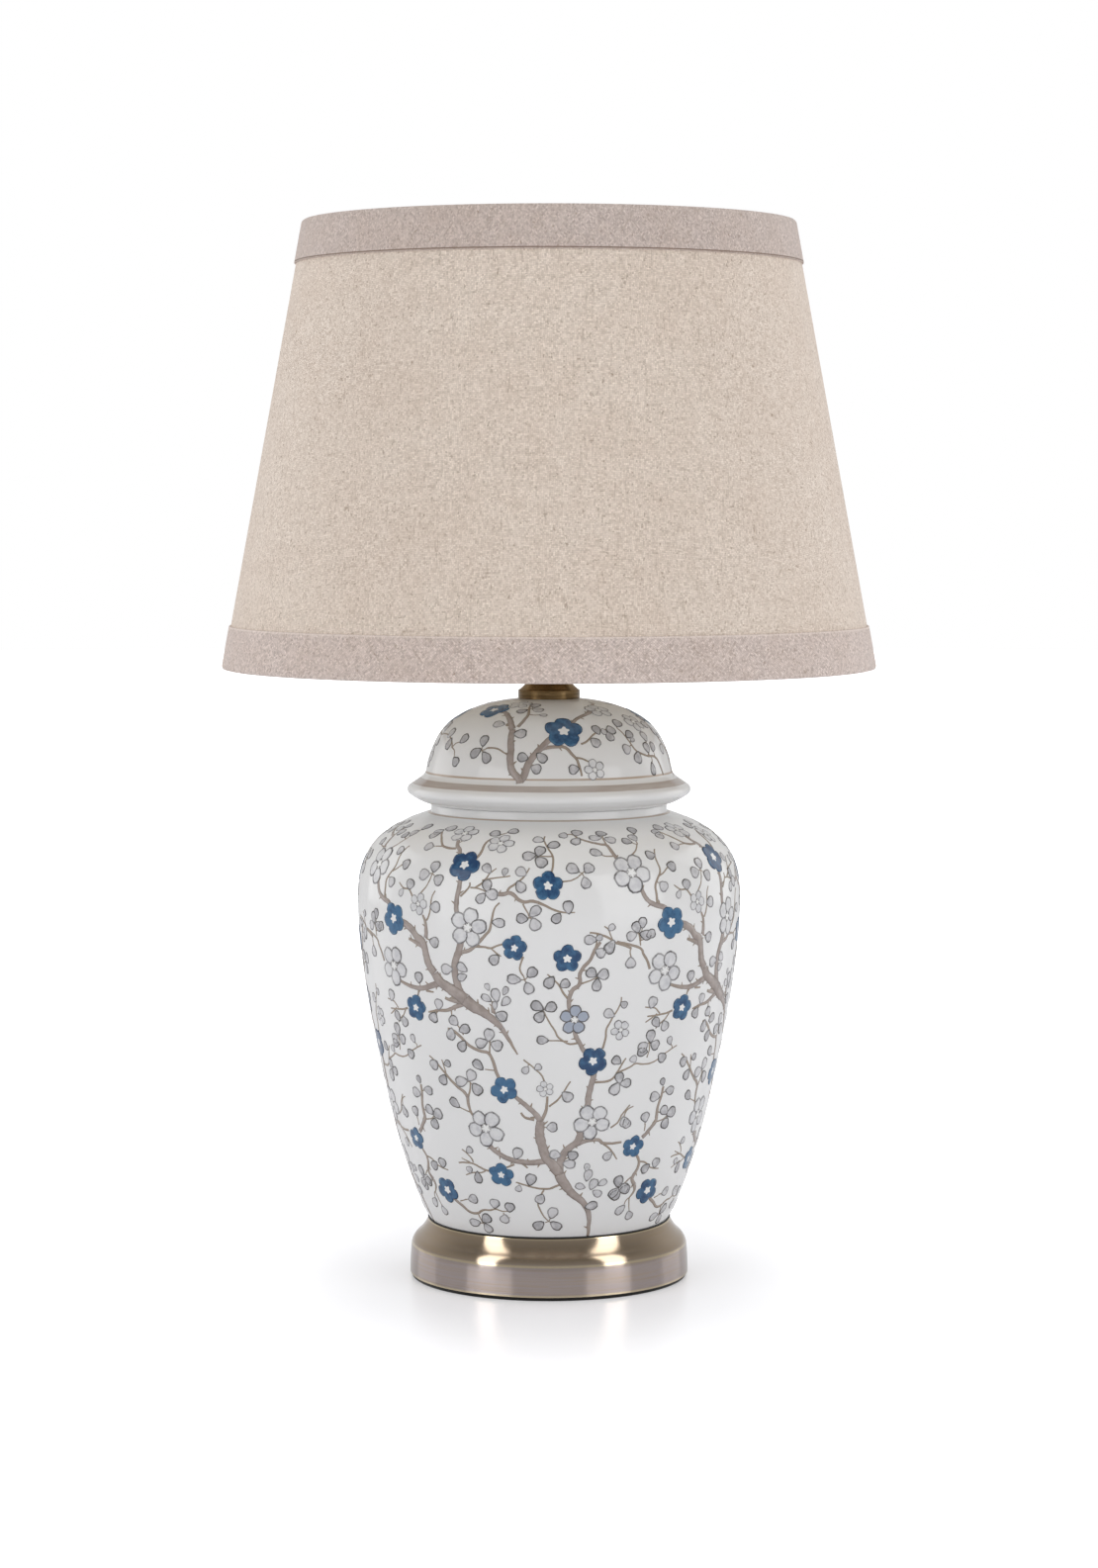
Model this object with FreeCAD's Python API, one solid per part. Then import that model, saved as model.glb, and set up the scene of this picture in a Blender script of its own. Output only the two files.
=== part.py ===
import FreeCAD, Part
import math
import os

# Ginger jar table lamp. Millimetres, +Z up, +X right, +Y away from the viewer.
# The origin is the centre of the pad's underside, where the lamp stands on a table.
# All heights are above the table.

# Pad and spun metal foot
PAD_T = 2.0
PAD_INSET = 1.0
METAL_T = 1.2
FOOT_R = 81.9
FOOT_RIDGE_R = 81.1
FOOT_RIDGE_Z = 18.9
FOOT_LIP_R = 71.4
FOOT_LIP_Z = 34.2
FOOT_HEM_W = 7.0
PLATE_Z = 30.0
CORD_HOLE_R = 5.0
CORD_BORE_R = 3.6
CORD_Z = 11.0

# Central tube and what it clamps
ROD_R = 4.95
ROD_BORE_R = 3.5
ROD_BOTTOM_Z = 14.0
ROD_HOLE_R = 5.2
NUT_FLATS = 17.0
NUT_H = 8.0
LOCK_WASHER_T = 1.6
CLAMP_WASHER_R = 25.0
CLAMP_WASHER_T = 2.0

# Jar: the side is given as (radius, height) from the foot ring to the neck
GASKET_T = 1.0
JAR_WALL = 5.5
JAR_FOOT_R = 69.0
JAR_FOOT_RING_W = 11.0
JAR_FLOOR_T = 7.0
JAR_FLOOR_GAP = 3.0
JAR_SIDE = [(70.7, 35.0), (75.7, 45.5), (82.3, 63.3), (89.7, 87.0), (98.0, 122.4), (105.0, 157.6),
            (110.1, 192.8), (112.1, 223.5), (108.7, 245.2), (98.8, 259.7), (84.0, 268.9), (69.6, 274.2)]
JAR_NECK_R = 69.0
JAR_NECK_Z = 279.0
JAR_MOUTH_R = 63.0

# Lid: the dome is given as (radius, height) from the rim to the flat top
LID_WALL = 5.0
LID_RIM_R = 82.95
LID_DOME = [(72.0, 298.6), (69.2, 308.9), (65.4, 317.5), (59.6, 325.1), (49.7, 332.0), (36.0, 337.2),
            (20.0, 340.0)]
LID_TOP_Z = 340.2
LID_SPIGOT_R = 62.2
LID_SPIGOT_Z = 268.0
LID_SPIGOT_WALL = 4.5

# Vase cap on the lid
CAP_R = 18.05
CAP_NECK_R = 11.6
CAP_TOP_Z = 356.0
TOP_NUT_FLATS = 14.0
TOP_NUT_H = 4.0

# Lampholder
HOLDER_R = 22.5
HOLDER_WALL = 1.0
HOLDER_SEAT_Z = 385.0
SKIRT_R = 19.5
SKIRT_TOP_Z = 417.0
INSULATOR_R = 18.5
INSULATOR_FLOOR_T = 5.8
SCREW_SHELL_BORE_R = 13.3
SCREW_SHELL_T = 0.5
CONTACT_Z = 395.0
CONTACT_T = 0.6
CONTACT_W = 6.0

# Rotary switch in the lampholder's lower half; its knob points along +X
SWITCH_Z = 372.0
SWITCH_BLOCK_R = 16.5
SHAFT_R = 2.4
SHAFT_INNER_X = 6.0
KNOB_R = 6.0
KNOB_X = 26.0
KNOB_L = 15.0
KNOB_FLUTES = 12

# Bulb with a 27 mm screw cap
BULB_R = 30.0
BULB_L = 107.0
BULB_CAP_R = 13.0
BULB_CAP_L = 27.0
BULB_NECK_R = 13.6
GLASS_T = 0.9

# Shade ring that screws down on the lampholder's skirt
RING_BORE_R = 19.75
RING_R = 27.5
RING_HUB_R = 23.5
RING_FLANGE_T = 3.0
RING_H = 8.0
RING_NOTCHES = 16
WASHER_T = 1.0

# Shade: radii of the skin's outer face at its two edges
SHADE_BOTTOM_Z = 358.3
SHADE_TOP_Z = 616.4
SHADE_BOTTOM_R = 189.8
SHADE_TOP_R = 141.9
SKIN_T = 0.8
TRIM_W = 25.0
TRIM_T = 1.1
TRIM_TURN_T = 0.7
TRIM_TURN_W = 12.0
WIRE_R = 1.5
CARRIER_R = 27.5
CARRIER_BORE_R = 21.0
CARRIER_T = 2.0
SPOKES = 3
SPOKE_R = 1.75
FIRST_SPOKE_DEG = 90.0

SKIN_SLOPE = math.atan2(SHADE_BOTTOM_R - SHADE_TOP_R, SHADE_TOP_Z - SHADE_BOTTOM_Z)
SKIN_L = math.hypot(SHADE_BOTTOM_R - SHADE_TOP_R, SHADE_TOP_Z - SHADE_BOTTOM_Z)

UP = FreeCAD.Vector(0, 0, 1)
BACK = FreeCAD.Vector(0, 1, 0)
RIGHT = FreeCAD.Vector(1, 0, 0)


# Small helpers: a profile lies in the XZ plane and is spun about Z

def at(point):
    r, z = point
    return FreeCAD.Vector(r, 0, z)


def smooth(points):
    curve = Part.BSplineCurve()
    curve.interpolate([at(p) for p in points])
    return curve


def inset(points, wall):
    """The same curve moved inwards by a wall's thickness, square to itself."""
    curve = smooth(points)
    moved = []
    for point in points:
        tangent = curve.tangent(curve.parameter(at(point)))[0]
        normal = FreeCAD.Vector(-tangent.z, 0, tangent.x).normalize()
        inner = at(point) + normal * wall
        moved.append((inner.x, inner.z))
    return moved


def outline(start, *steps):
    """A closed wire. A step is a point for a straight run, two points for an arc
    (through, to), or a list of points for a smooth curve."""
    edges = []
    here = start
    for step in steps + (start,):
        if isinstance(step, list):
            edges.append(smooth([here] + step).toShape() if step[0] != here else smooth(step).toShape())
            here = step[-1]
        elif isinstance(step[0], tuple):
            through, end = step
            edges.append(Part.Arc(at(here), at(through), at(end)).toShape())
            here = end
        elif step != here:
            edges.append(Part.makeLine(at(here), at(step)))
            here = step
    return Part.Wire(edges)


def spin(wire):
    solid = Part.Face(wire).revolve(FreeCAD.Vector(), UP, 360)
    if solid.Volume < 0:
        solid.reverse()
    return solid


def lathe(start, *steps):
    return spin(outline(start, *steps))


def ring(bore, radius, low, high):
    return lathe((bore, low), (radius, low), (radius, high), (bore, high))


def rod(radius, start, end):
    return Part.makeCylinder(radius, (end - start).Length, start, end - start)


def hexagon(flats, low, high):
    corner = flats / math.sqrt(3)
    points = [FreeCAD.Vector(corner * math.cos(math.radians(a)), corner * math.sin(math.radians(a)), low)
              for a in range(0, 361, 60)]
    prism = Part.Face(Part.makePolygon(points)).extrude(UP * (high - low))
    chamfer = lathe((0, low), (corner - 0.9, low), (corner, low + 0.6), (corner, high - 0.6),
                    (corner - 0.9, high), (0, high))
    return prism.common(chamfer)


def turned(shape, degrees):
    copy = shape.copy()
    copy.rotate(FreeCAD.Vector(), UP, degrees)
    return copy


def around(shape, count):
    return [turned(shape, i * 360.0 / count) for i in range(count)]


# Foot: felt pad, spun shell, cord bush, gasket

def base_pad():
    radius = FOOT_R - PAD_INSET
    return lathe((0, 0), (radius, 0), (radius, PAD_T), (0, PAD_T))


def foot_side(offset):
    """The foot's side from its hem to its lip, moved in by an offset, as (radius, height) points."""
    slant = offset * 0.72
    return {
        "bottom": (FOOT_R - offset, PAD_T),
        "side": (FOOT_R - 0.15 - offset, 0.55 * FOOT_RIDGE_Z),
        "ridge": (FOOT_RIDGE_R - offset, FOOT_RIDGE_Z - 0.4 * offset),
        "crest": (FOOT_RIDGE_R - 1.1 - offset * 0.9, FOOT_RIDGE_Z + 3.1 - offset * 0.6),
        "turn": (77.0 - slant, 25.4 - slant),
        "cove": (73.3 - offset * 0.85, 29.8 - offset * 0.5),
        "lip": (FOOT_LIP_R - offset, 33.4),
    }


def base_shell():
    outer = foot_side(0)
    inner = foot_side(METAL_T)
    well_r = FOOT_LIP_R - METAL_T - 0.5
    hem_r = FOOT_R - FOOT_HEM_W
    shell = lathe(
        outer["bottom"], (outer["side"], outer["ridge"]), (outer["crest"], outer["turn"]), (outer["cove"], outer["lip"]),
        ((FOOT_LIP_R - 0.85, FOOT_LIP_Z), (well_r, 33.4)), (well_r, PLATE_Z), (ROD_HOLE_R, PLATE_Z),
        (ROD_HOLE_R, PLATE_Z - METAL_T), (inner["lip"][0] - 0.6, PLATE_Z - METAL_T),
        (inner["cove"][0], inner["cove"][1] - 2.6), (inner["turn"][0], inner["turn"][1] - 0.6),
        inner["crest"], inner["ridge"], (inner["bottom"][0], PAD_T + METAL_T),
        (hem_r, PAD_T + METAL_T), (hem_r, PAD_T))
    hole = rod(CORD_HOLE_R, BACK * (FOOT_R - 6) + UP * CORD_Z, BACK * (FOOT_R + 6) + UP * CORD_Z)
    return shell.cut(hole)


def cord_bush():
    """A flanged sleeve along +Y, with a groove that grips the foot's wall."""
    wall_out = FOOT_R - 0.15
    wall_in = wall_out - METAL_T - 0.3
    profile = lathe((CORD_BORE_R, 0), (CORD_HOLE_R + 1.4, 0), (CORD_HOLE_R + 1.8, 0.4),
                    (CORD_HOLE_R + 1.8, 2.0), (CORD_HOLE_R - 0.1, 2.0), (CORD_HOLE_R - 0.1, 3.9),
                    (CORD_HOLE_R + 0.7, 3.9), (CORD_HOLE_R - 0.1, 7.0), (CORD_BORE_R, 7.0))
    profile.rotate(FreeCAD.Vector(), RIGHT, 90)
    profile.translate(BACK * (wall_out + 2.0) + UP * CORD_Z)
    wall = lathe((wall_in, CORD_Z - 9), (wall_out + 0.25, CORD_Z - 9), (wall_out - 0.1, CORD_Z + 9),
                 (wall_in, CORD_Z + 9))
    return profile.cut(wall.cut(rod(CORD_HOLE_R, UP * CORD_Z, BACK * (FOOT_R + 9) + UP * CORD_Z)))


def foot_gasket():
    return ring(JAR_FOOT_R - JAR_FOOT_RING_W, JAR_FOOT_R, PLATE_Z, PLATE_Z + GASKET_T)


# Central tube, washers and nuts

def rod_stack():
    under_plate = PLATE_Z - METAL_T
    under_clamp = under_plate - CLAMP_WASHER_T
    under_lock = under_clamp - LOCK_WASHER_T
    nut_bore = rod(ROD_R, UP * (ROD_BOTTOM_Z - 1), UP * CAP_TOP_Z)
    clamp = ring(ROD_HOLE_R, CLAMP_WASHER_R, under_clamp, under_plate)
    split = Part.makeBox(12, 1.2, 6, FreeCAD.Vector(0, -0.6, under_lock - 2))
    split.rotate(FreeCAD.Vector(7, 0, under_lock), RIGHT, 25)
    lock = ring(ROD_HOLE_R, 9.0, under_lock, under_clamp).cut(split)
    nut = hexagon(NUT_FLATS, under_lock - NUT_H, under_lock).cut(nut_bore)
    tube = ring(ROD_BORE_R, ROD_R, ROD_BOTTOM_Z, CAP_TOP_Z + 7)
    top_nut_z = CAP_TOP_Z - TOP_NUT_H - 0.5
    top_nut = hexagon(TOP_NUT_FLATS, top_nut_z, top_nut_z + TOP_NUT_H).cut(nut_bore)
    return {"clamp_washer": clamp, "lock_washer": lock, "bottom_nut": nut, "threaded_rod": tube,
            "top_nut": top_nut}


# Glazed ceramic

def jar():
    foot_z = PLATE_Z + GASKET_T
    floor_z = foot_z + JAR_FLOOR_GAP
    ring_in = JAR_FOOT_R - JAR_FOOT_RING_W
    inside = inset(JAR_SIDE, JAR_WALL)
    inside_neck = (JAR_MOUTH_R, JAR_NECK_Z - 9.0)
    return lathe(
        (8.0, floor_z), (ring_in - 2.0, floor_z), (ring_in, foot_z), (JAR_FOOT_R - 1.0, foot_z),
        (JAR_FOOT_R, foot_z + 1.0), (JAR_FOOT_R, FOOT_LIP_Z - 0.6), JAR_SIDE[0], JAR_SIDE,
        (JAR_NECK_R, JAR_SIDE[-1][1] + 0.5),
        (JAR_NECK_R, JAR_NECK_Z - 0.6), (JAR_NECK_R - 0.6, JAR_NECK_Z), (JAR_MOUTH_R + 0.8, JAR_NECK_Z),
        (JAR_MOUTH_R, JAR_NECK_Z - 0.8), inside_neck, inside[10], inside[9], inside[8], inside[7],
        inside[5], inside[3], inside[1], (JAR_FOOT_R - 6.0, floor_z + JAR_FLOOR_T), (8.0, floor_z + JAR_FLOOR_T))


def lid():
    inside = inset(LID_DOME, LID_WALL)
    spigot_in = LID_SPIGOT_R - LID_SPIGOT_WALL
    return lathe(
        (LID_SPIGOT_R, JAR_NECK_Z), (JAR_NECK_R + 0.2, JAR_NECK_Z),
        ((76.6, 281.6), (81.3, 284.5)), ((LID_RIM_R, 287.2), (81.3, 290.1)),
        ((77.0, 293.0), (74.4, 294.9)), ((72.9, 296.4), LID_DOME[0]), LID_DOME,
        (19.0, LID_TOP_Z), (6.0, LID_TOP_Z), (6.0, LID_TOP_Z - LID_WALL), inside[6], inside[5],
        inside[4], inside[3], inside[1], (spigot_in, 288.0), (spigot_in, LID_SPIGOT_Z),
        (LID_SPIGOT_R, LID_SPIGOT_Z))


def vase_cap():
    well_r = TOP_NUT_FLATS / math.sqrt(3) + 0.5
    well_z = CAP_TOP_Z - TOP_NUT_H - 0.5
    return lathe(
        (ROD_HOLE_R, LID_TOP_Z), (CAP_R - 0.4, LID_TOP_Z), (CAP_R, LID_TOP_Z + 0.4), (CAP_R, 344.9),
        (17.2, 346.1), ((13.6, 347.4), (12.2, 349.6)), ((11.8, 351.0), (CAP_NECK_R, 352.5)),
        (CAP_NECK_R, CAP_TOP_Z), (well_r, CAP_TOP_Z), (well_r, well_z), (ROD_HOLE_R, well_z))


# Lampholder

def lampholder_cap():
    rim_z = HOLDER_SEAT_Z - HOLDER_WALL
    inner_r = HOLDER_R - HOLDER_WALL
    floor_z = CAP_TOP_Z + HOLDER_WALL
    boss_z = CAP_TOP_Z + 7.0
    cup = lathe(
        (ROD_R, CAP_TOP_Z), (13.0, CAP_TOP_Z), ((20.0, 359.6), (HOLDER_R, 367.0)),
        (HOLDER_R, rim_z), (inner_r, rim_z), (inner_r, 367.2), (18.6, 360.0), (12.9, floor_z),
        (8.0, floor_z), (8.0, boss_z), (ROD_R, boss_z))
    spindle = UP * SWITCH_Z
    return cup.cut(rod(SHAFT_R + 0.4, spindle + RIGHT * 18, spindle + RIGHT * 26))


def lampholder_shell():
    """The outer skirt, whose lower flange is the seat of the shade."""
    bore = SKIRT_R - HOLDER_WALL
    low = HOLDER_SEAT_Z - HOLDER_WALL
    return lathe(
        (bore, low), (HOLDER_R, low), (HOLDER_R, HOLDER_SEAT_Z), (SKIRT_R, HOLDER_SEAT_Z),
        (SKIRT_R, SKIRT_TOP_Z - 0.3), (SKIRT_R - 0.3, SKIRT_TOP_Z), (bore, SKIRT_TOP_Z))


def lampholder_insulator():
    """A ceramic cup whose floor carries the contact and whose wall rings the screw shell."""
    low = HOLDER_SEAT_Z
    floor_z = low + INSULATOR_FLOOR_T
    bore = SCREW_SHELL_BORE_R + SCREW_SHELL_T + 0.6
    top = SKIRT_TOP_Z - 3.0
    return lathe((0, low), (INSULATOR_R, low), (INSULATOR_R, top - 0.8), (INSULATOR_R - 0.8, top),
                 (bore + 0.8, top), (bore, top - 0.8), (bore, floor_z), (0, floor_z))


def screw_shell():
    low = HOLDER_SEAT_Z + INSULATOR_FLOOR_T
    bore = SCREW_SHELL_BORE_R
    high = SKIRT_TOP_Z - 2.0
    return lathe((bore - 2.6, low), (bore + SCREW_SHELL_T, low), (bore + SCREW_SHELL_T, high),
                 (bore, high), (bore, low + SCREW_SHELL_T), (bore - 2.6, low + SCREW_SHELL_T))


def centre_contact():
    """A bent spring tongue: foot on the insulator, slope, and a flat under the bulb."""
    floor_z = HOLDER_SEAT_Z + INSULATOR_FLOOR_T
    top = CONTACT_Z
    bend_in, bend_out = -3.5, -7.0
    face = Part.Face(outline(
        (-10.0, floor_z), (bend_out, floor_z), (bend_in, top - CONTACT_T), (4.5, top - CONTACT_T),
        (5.5, top - 1.6), (6.0, top - 1.3), (5.0, top), (bend_in - 0.3, top),
        (bend_out - 0.3, floor_z + CONTACT_T), (-10.0, floor_z + CONTACT_T)))
    strip = face.extrude(BACK * CONTACT_W)
    strip.translate(BACK * (-CONTACT_W / 2))
    return strip


def switch_block():
    block = lathe((ROD_R + 4.0, 364.0), (SWITCH_BLOCK_R - 2, 364.0), (SWITCH_BLOCK_R, 366.0),
                  (SWITCH_BLOCK_R, HOLDER_SEAT_Z), (0, HOLDER_SEAT_Z), (0, 368.0),
                  (ROD_R + 4.0, 368.0))
    spindle = UP * SWITCH_Z
    bearing = rod(SHAFT_R + 0.1, spindle + RIGHT * (SHAFT_INNER_X - 0.5), spindle + RIGHT * 20)
    return block.cut(bearing)


def switch_shaft():
    """A steel spindle with a flat for its knob."""
    spindle = UP * SWITCH_Z
    shaft = rod(SHAFT_R, spindle + RIGHT * SHAFT_INNER_X, spindle + RIGHT * (KNOB_X + 9))
    flat = Part.makeBox(10, 6, 2, FreeCAD.Vector(KNOB_X, -3, SWITCH_Z + SHAFT_R - 0.7))
    return shaft.cut(flat)


def fluted_section(radius, depth, flutes):
    """A round outline with a shallow arc cut between each two crests."""
    pitch = 2 * math.pi / flutes

    def polar(r, angle):
        return FreeCAD.Vector(r * math.cos(angle), r * math.sin(angle), 0)

    edges = []
    for i in range(flutes):
        start = i * pitch
        crest_end = start + 0.4 * pitch
        edges.append(Part.Arc(polar(radius, start), polar(radius, start + 0.2 * pitch),
                              polar(radius, crest_end)).toShape())
        edges.append(Part.Arc(polar(radius, crest_end), polar(radius - depth, start + 0.7 * pitch),
                              polar(radius, start + pitch)).toShape())
    return Part.Face(Part.Wire(edges))


def switch_knob():
    """A fluted knob with bevelled ends, drawn upright and laid along +X."""
    prism = fluted_section(KNOB_R, 0.5, KNOB_FLUTES).extrude(UP * KNOB_L)
    bevels = lathe((0, 0), (KNOB_R - 0.8, 0), (KNOB_R + 0.4, 1.2), (KNOB_R + 0.4, KNOB_L - 1.8),
                   (KNOB_R - 1.4, KNOB_L), (0, KNOB_L))
    body = prism.common(bevels)
    body.rotate(FreeCAD.Vector(), BACK, 90)
    body.translate(RIGHT * KNOB_X + UP * SWITCH_Z)
    return body.cut(switch_shaft())


# Bulb

def bulb_glass():
    """A hollow pear: neck, shoulder and a ball of the bulb's full radius, closed at the neck."""
    ball_z = CONTACT_Z + BULB_L - BULB_R
    neck_z = CONTACT_Z + BULB_CAP_L
    low = neck_z - 8.0
    slope = math.radians(12)
    join_r = BULB_R * math.cos(slope)
    join_z = ball_z - BULB_R * math.sin(slope)
    neck = BULB_CAP_R - 0.6
    crown_r = BULB_R * math.sin(math.radians(49))
    crown_z = ball_z + BULB_R * math.cos(math.radians(49))
    tip = 0.8
    inner_top = ball_z + BULB_R - GLASS_T
    side = [(neck, neck_z), (neck + 3.9, neck_z + 14.0), (neck + 11.0, neck_z + 28.0), (join_r, join_z)]
    return lathe(
        (0, low), (neck, low), side[0], side, ((crown_r, crown_z), (tip, ball_z + BULB_R)), (0, ball_z + BULB_R),
        (0, inner_top), (4.0, inner_top), (15.0, inner_top - 4.0), (25.2, ball_z + 14.5), (BULB_R - GLASS_T - 0.4, ball_z), (join_r - 1.2, join_z),
        (neck + 10.0, neck_z + 28.0), (neck + 2.6, neck_z + 13.0), (neck - GLASS_T, neck_z),
        (neck - GLASS_T, low + GLASS_T), (0, low + GLASS_T))


def bulb_cap():
    """The screw cap, a thin cup that the glass neck sits in."""
    low = CONTACT_Z + 3.0
    high = CONTACT_Z + BULB_CAP_L
    wall = 0.5
    return lathe(
        (BULB_CAP_R - 2.4, low), (BULB_CAP_R - 1.0, low), (BULB_CAP_R, low + 1.5), (BULB_CAP_R, high - 2.0),
        (BULB_NECK_R, high), (BULB_NECK_R - 0.4, high), (BULB_CAP_R - wall, high - 2.2),
        (BULB_CAP_R - wall, low + 1.7), (BULB_CAP_R - 1.3, low + wall), (BULB_CAP_R - 2.4, low + wall))


def bulb_insulator():
    low = CONTACT_Z + 0.8
    return lathe((4.6, low), (6.4, low), (BULB_CAP_R - 2.4, low + 2.2), (BULB_CAP_R - 2.4, low + 3.6),
                 (4.6, low + 3.6))


def bulb_contact():
    """The solder pip in the middle of the cap's glass."""
    return lathe((0, CONTACT_Z), (2.6, CONTACT_Z), ((3.7, CONTACT_Z + 0.35), (4.45, CONTACT_Z + 1.2)),
                 (4.45, CONTACT_Z + 3.6), (0, CONTACT_Z + 3.6))


# Shade ring and its captive washer

def ring_washer():
    low = HOLDER_SEAT_Z + CARRIER_T
    return ring(RING_BORE_R + 0.4, RING_R - 1.5, low, low + WASHER_T)


def shade_ring():
    """A hub with a flange, notched round its edge for the fingers."""
    low = HOLDER_SEAT_Z + CARRIER_T + WASHER_T
    body = lathe(
        (RING_BORE_R, low), (RING_R - 0.5, low), (RING_R, low + 0.5), (RING_R, low + RING_FLANGE_T - 0.6),
        (RING_R - 0.6, low + RING_FLANGE_T), (RING_HUB_R, low + RING_FLANGE_T),
        (RING_HUB_R - 0.6, low + RING_H - 0.6), (RING_HUB_R - 1.2, low + RING_H),
        (RING_BORE_R, low + RING_H))
    notch = rod(1.6, FreeCAD.Vector(RING_R + 0.7, 0, low - 1), FreeCAD.Vector(RING_R + 0.7, 0, low + 9))
    return body.cut(around(notch, RING_NOTCHES))


# Shade

def on_skin(up, out, from_top=False):
    """A point at a slant distance from one of the skin's edges and a distance out from its outer face."""
    along = SKIN_L - up if from_top else up
    r = SHADE_BOTTOM_R - along * math.sin(SKIN_SLOPE) + out * math.cos(SKIN_SLOPE)
    z = SHADE_BOTTOM_Z + along * math.cos(SKIN_SLOPE) + out * math.sin(SKIN_SLOPE)
    return (r, z)


def shade_skin():
    edge = TRIM_TURN_T
    return lathe(on_skin(edge, 0), on_skin(SKIN_L - edge, 0), on_skin(SKIN_L - edge, -SKIN_T),
                 on_skin(edge, -SKIN_T))


def rim_wire_section(from_top):
    """The wire's eight corners, with one flat on the skin's inner face."""
    up = TRIM_TURN_T + WIRE_R
    out = -SKIN_T - WIRE_R
    flat = WIRE_R * math.tan(math.radians(22.5))
    steps = [(WIRE_R, flat), (flat, WIRE_R), (-flat, WIRE_R), (-WIRE_R, flat),
             (-WIRE_R, -flat), (-flat, -WIRE_R), (flat, -WIRE_R), (WIRE_R, -flat)]
    return [on_skin(up + du, out + dout, from_top) for du, dout in steps]


def rim_wire(from_top):
    return lathe(*rim_wire_section(from_top))


def spoke():
    """A wire from the carrier's edge down to the bottom rim wire."""
    rim_r, rim_z = on_skin(TRIM_TURN_T + WIRE_R, -SKIN_T - WIRE_R)
    start = FreeCAD.Vector(CARRIER_R - 2.5, 0, HOLDER_SEAT_Z - SPOKE_R + 0.6)
    return rod(SPOKE_R, start, FreeCAD.Vector(rim_r, 0, rim_z))


def shade_carrier():
    low = HOLDER_SEAT_Z
    return lathe((CARRIER_BORE_R, low), (CARRIER_R, low), (CARRIER_R, low + CARRIER_T - 0.4),
                 (CARRIER_R - 0.4, low + CARRIER_T), (CARRIER_BORE_R, low + CARRIER_T))


def shade_spokes():
    one = spoke().cut(rim_wire(False)).cut(shade_carrier())
    pieces = sorted(one.Solids, key=lambda solid: solid.Volume)
    return Part.Compound([turned(s, FIRST_SPOKE_DEG) for s in around(pieces[-1], SPOKES)])


def shade_trim(from_top):
    """A bias-cut band that covers an edge, wraps the rim wire and turns in behind it."""
    edge = TRIM_TURN_T
    wire_far = edge + 2 * WIRE_R
    bead = -SKIN_T - 2 * WIRE_R - TRIM_TURN_T
    behind = -SKIN_T - TRIM_TURN_T
    under_wire = rim_wire_section(from_top)[4:]

    def p(up, out):
        return on_skin(up, out, from_top)

    return lathe(
        p(1.8, TRIM_T), p(TRIM_W, TRIM_T), p(TRIM_W, 0), p(edge, 0), *under_wire,
        p(wire_far + 2.2, -SKIN_T), p(TRIM_TURN_W, -SKIN_T), p(TRIM_TURN_W, behind), p(wire_far + 2.5, behind),
        p(wire_far + 0.6, bead + 1.4), p(wire_far - 0.6, bead), p(1.3, bead), p(0.0, bead + 1.6), p(0.0, -0.4))


def bottom_trim():
    trim = shade_trim(False)
    slots = [turned(s, FIRST_SPOKE_DEG) for s in around(spoke(), SPOKES)]
    return trim.cut(slots)


def build():
    pieces = {
        "base_pad": base_pad(),
        "base_shell": base_shell(),
        "cord_bush": cord_bush(),
        "foot_gasket": foot_gasket(),
        "jar": jar(),
        "lid": lid(),
        "vase_cap": vase_cap(),
        "lampholder_cap": lampholder_cap(),
        "lampholder_shell": lampholder_shell(),
        "lampholder_insulator": lampholder_insulator(),
        "screw_shell": screw_shell(),
        "centre_contact": centre_contact(),
        "switch_block": switch_block(),
        "switch_shaft": switch_shaft(),
        "switch_knob": switch_knob(),
        "bulb_glass": bulb_glass(),
        "bulb_cap": bulb_cap(),
        "bulb_insulator": bulb_insulator(),
        "bulb_contact": bulb_contact(),
        "ring_washer": ring_washer(),
        "shade_ring": shade_ring(),
        "shade_skin": shade_skin(),
        "shade_top_trim": shade_trim(True),
        "shade_bottom_trim": bottom_trim(),
        "shade_top_wire": rim_wire(True),
        "shade_bottom_wire": rim_wire(False),
        "shade_carrier": shade_carrier(),
        "shade_spokes": shade_spokes(),
    }
    pieces.update(rod_stack())
    return pieces


os.makedirs("parts", exist_ok=True)
for name, shape in build().items():
    solids = len(shape.Solids)
    box = shape.BoundBox
    print(f"{name:22s} solids {solids} valid {shape.isValid()} volume {shape.Volume:10.1f} "
          f"z {box.ZMin:7.2f} {box.ZMax:7.2f} x {box.XMax:7.2f}")
    shape.exportStep(f"parts/{name}.step")
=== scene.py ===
# %% [markdown]
# # Dressing a ginger jar table lamp
#
# The lamp is a glazed ginger jar with a domed lid on a spun metal foot. A brass cap and a tube
# through the jar carry the lampholder, and a tapered linen shade sits on the lampholder.
# The construction model already has every piece at its real size. This lesson gives each piece
# its surface: glaze and brush painting, brushed metal, woven linen, threads and small hardware.
# All lengths are metres, +Z is up and the viewer looks along +Y.

# %% Load the construction model
import bpy
import bmesh
import math
import random
from mathutils import Matrix, Vector


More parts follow.
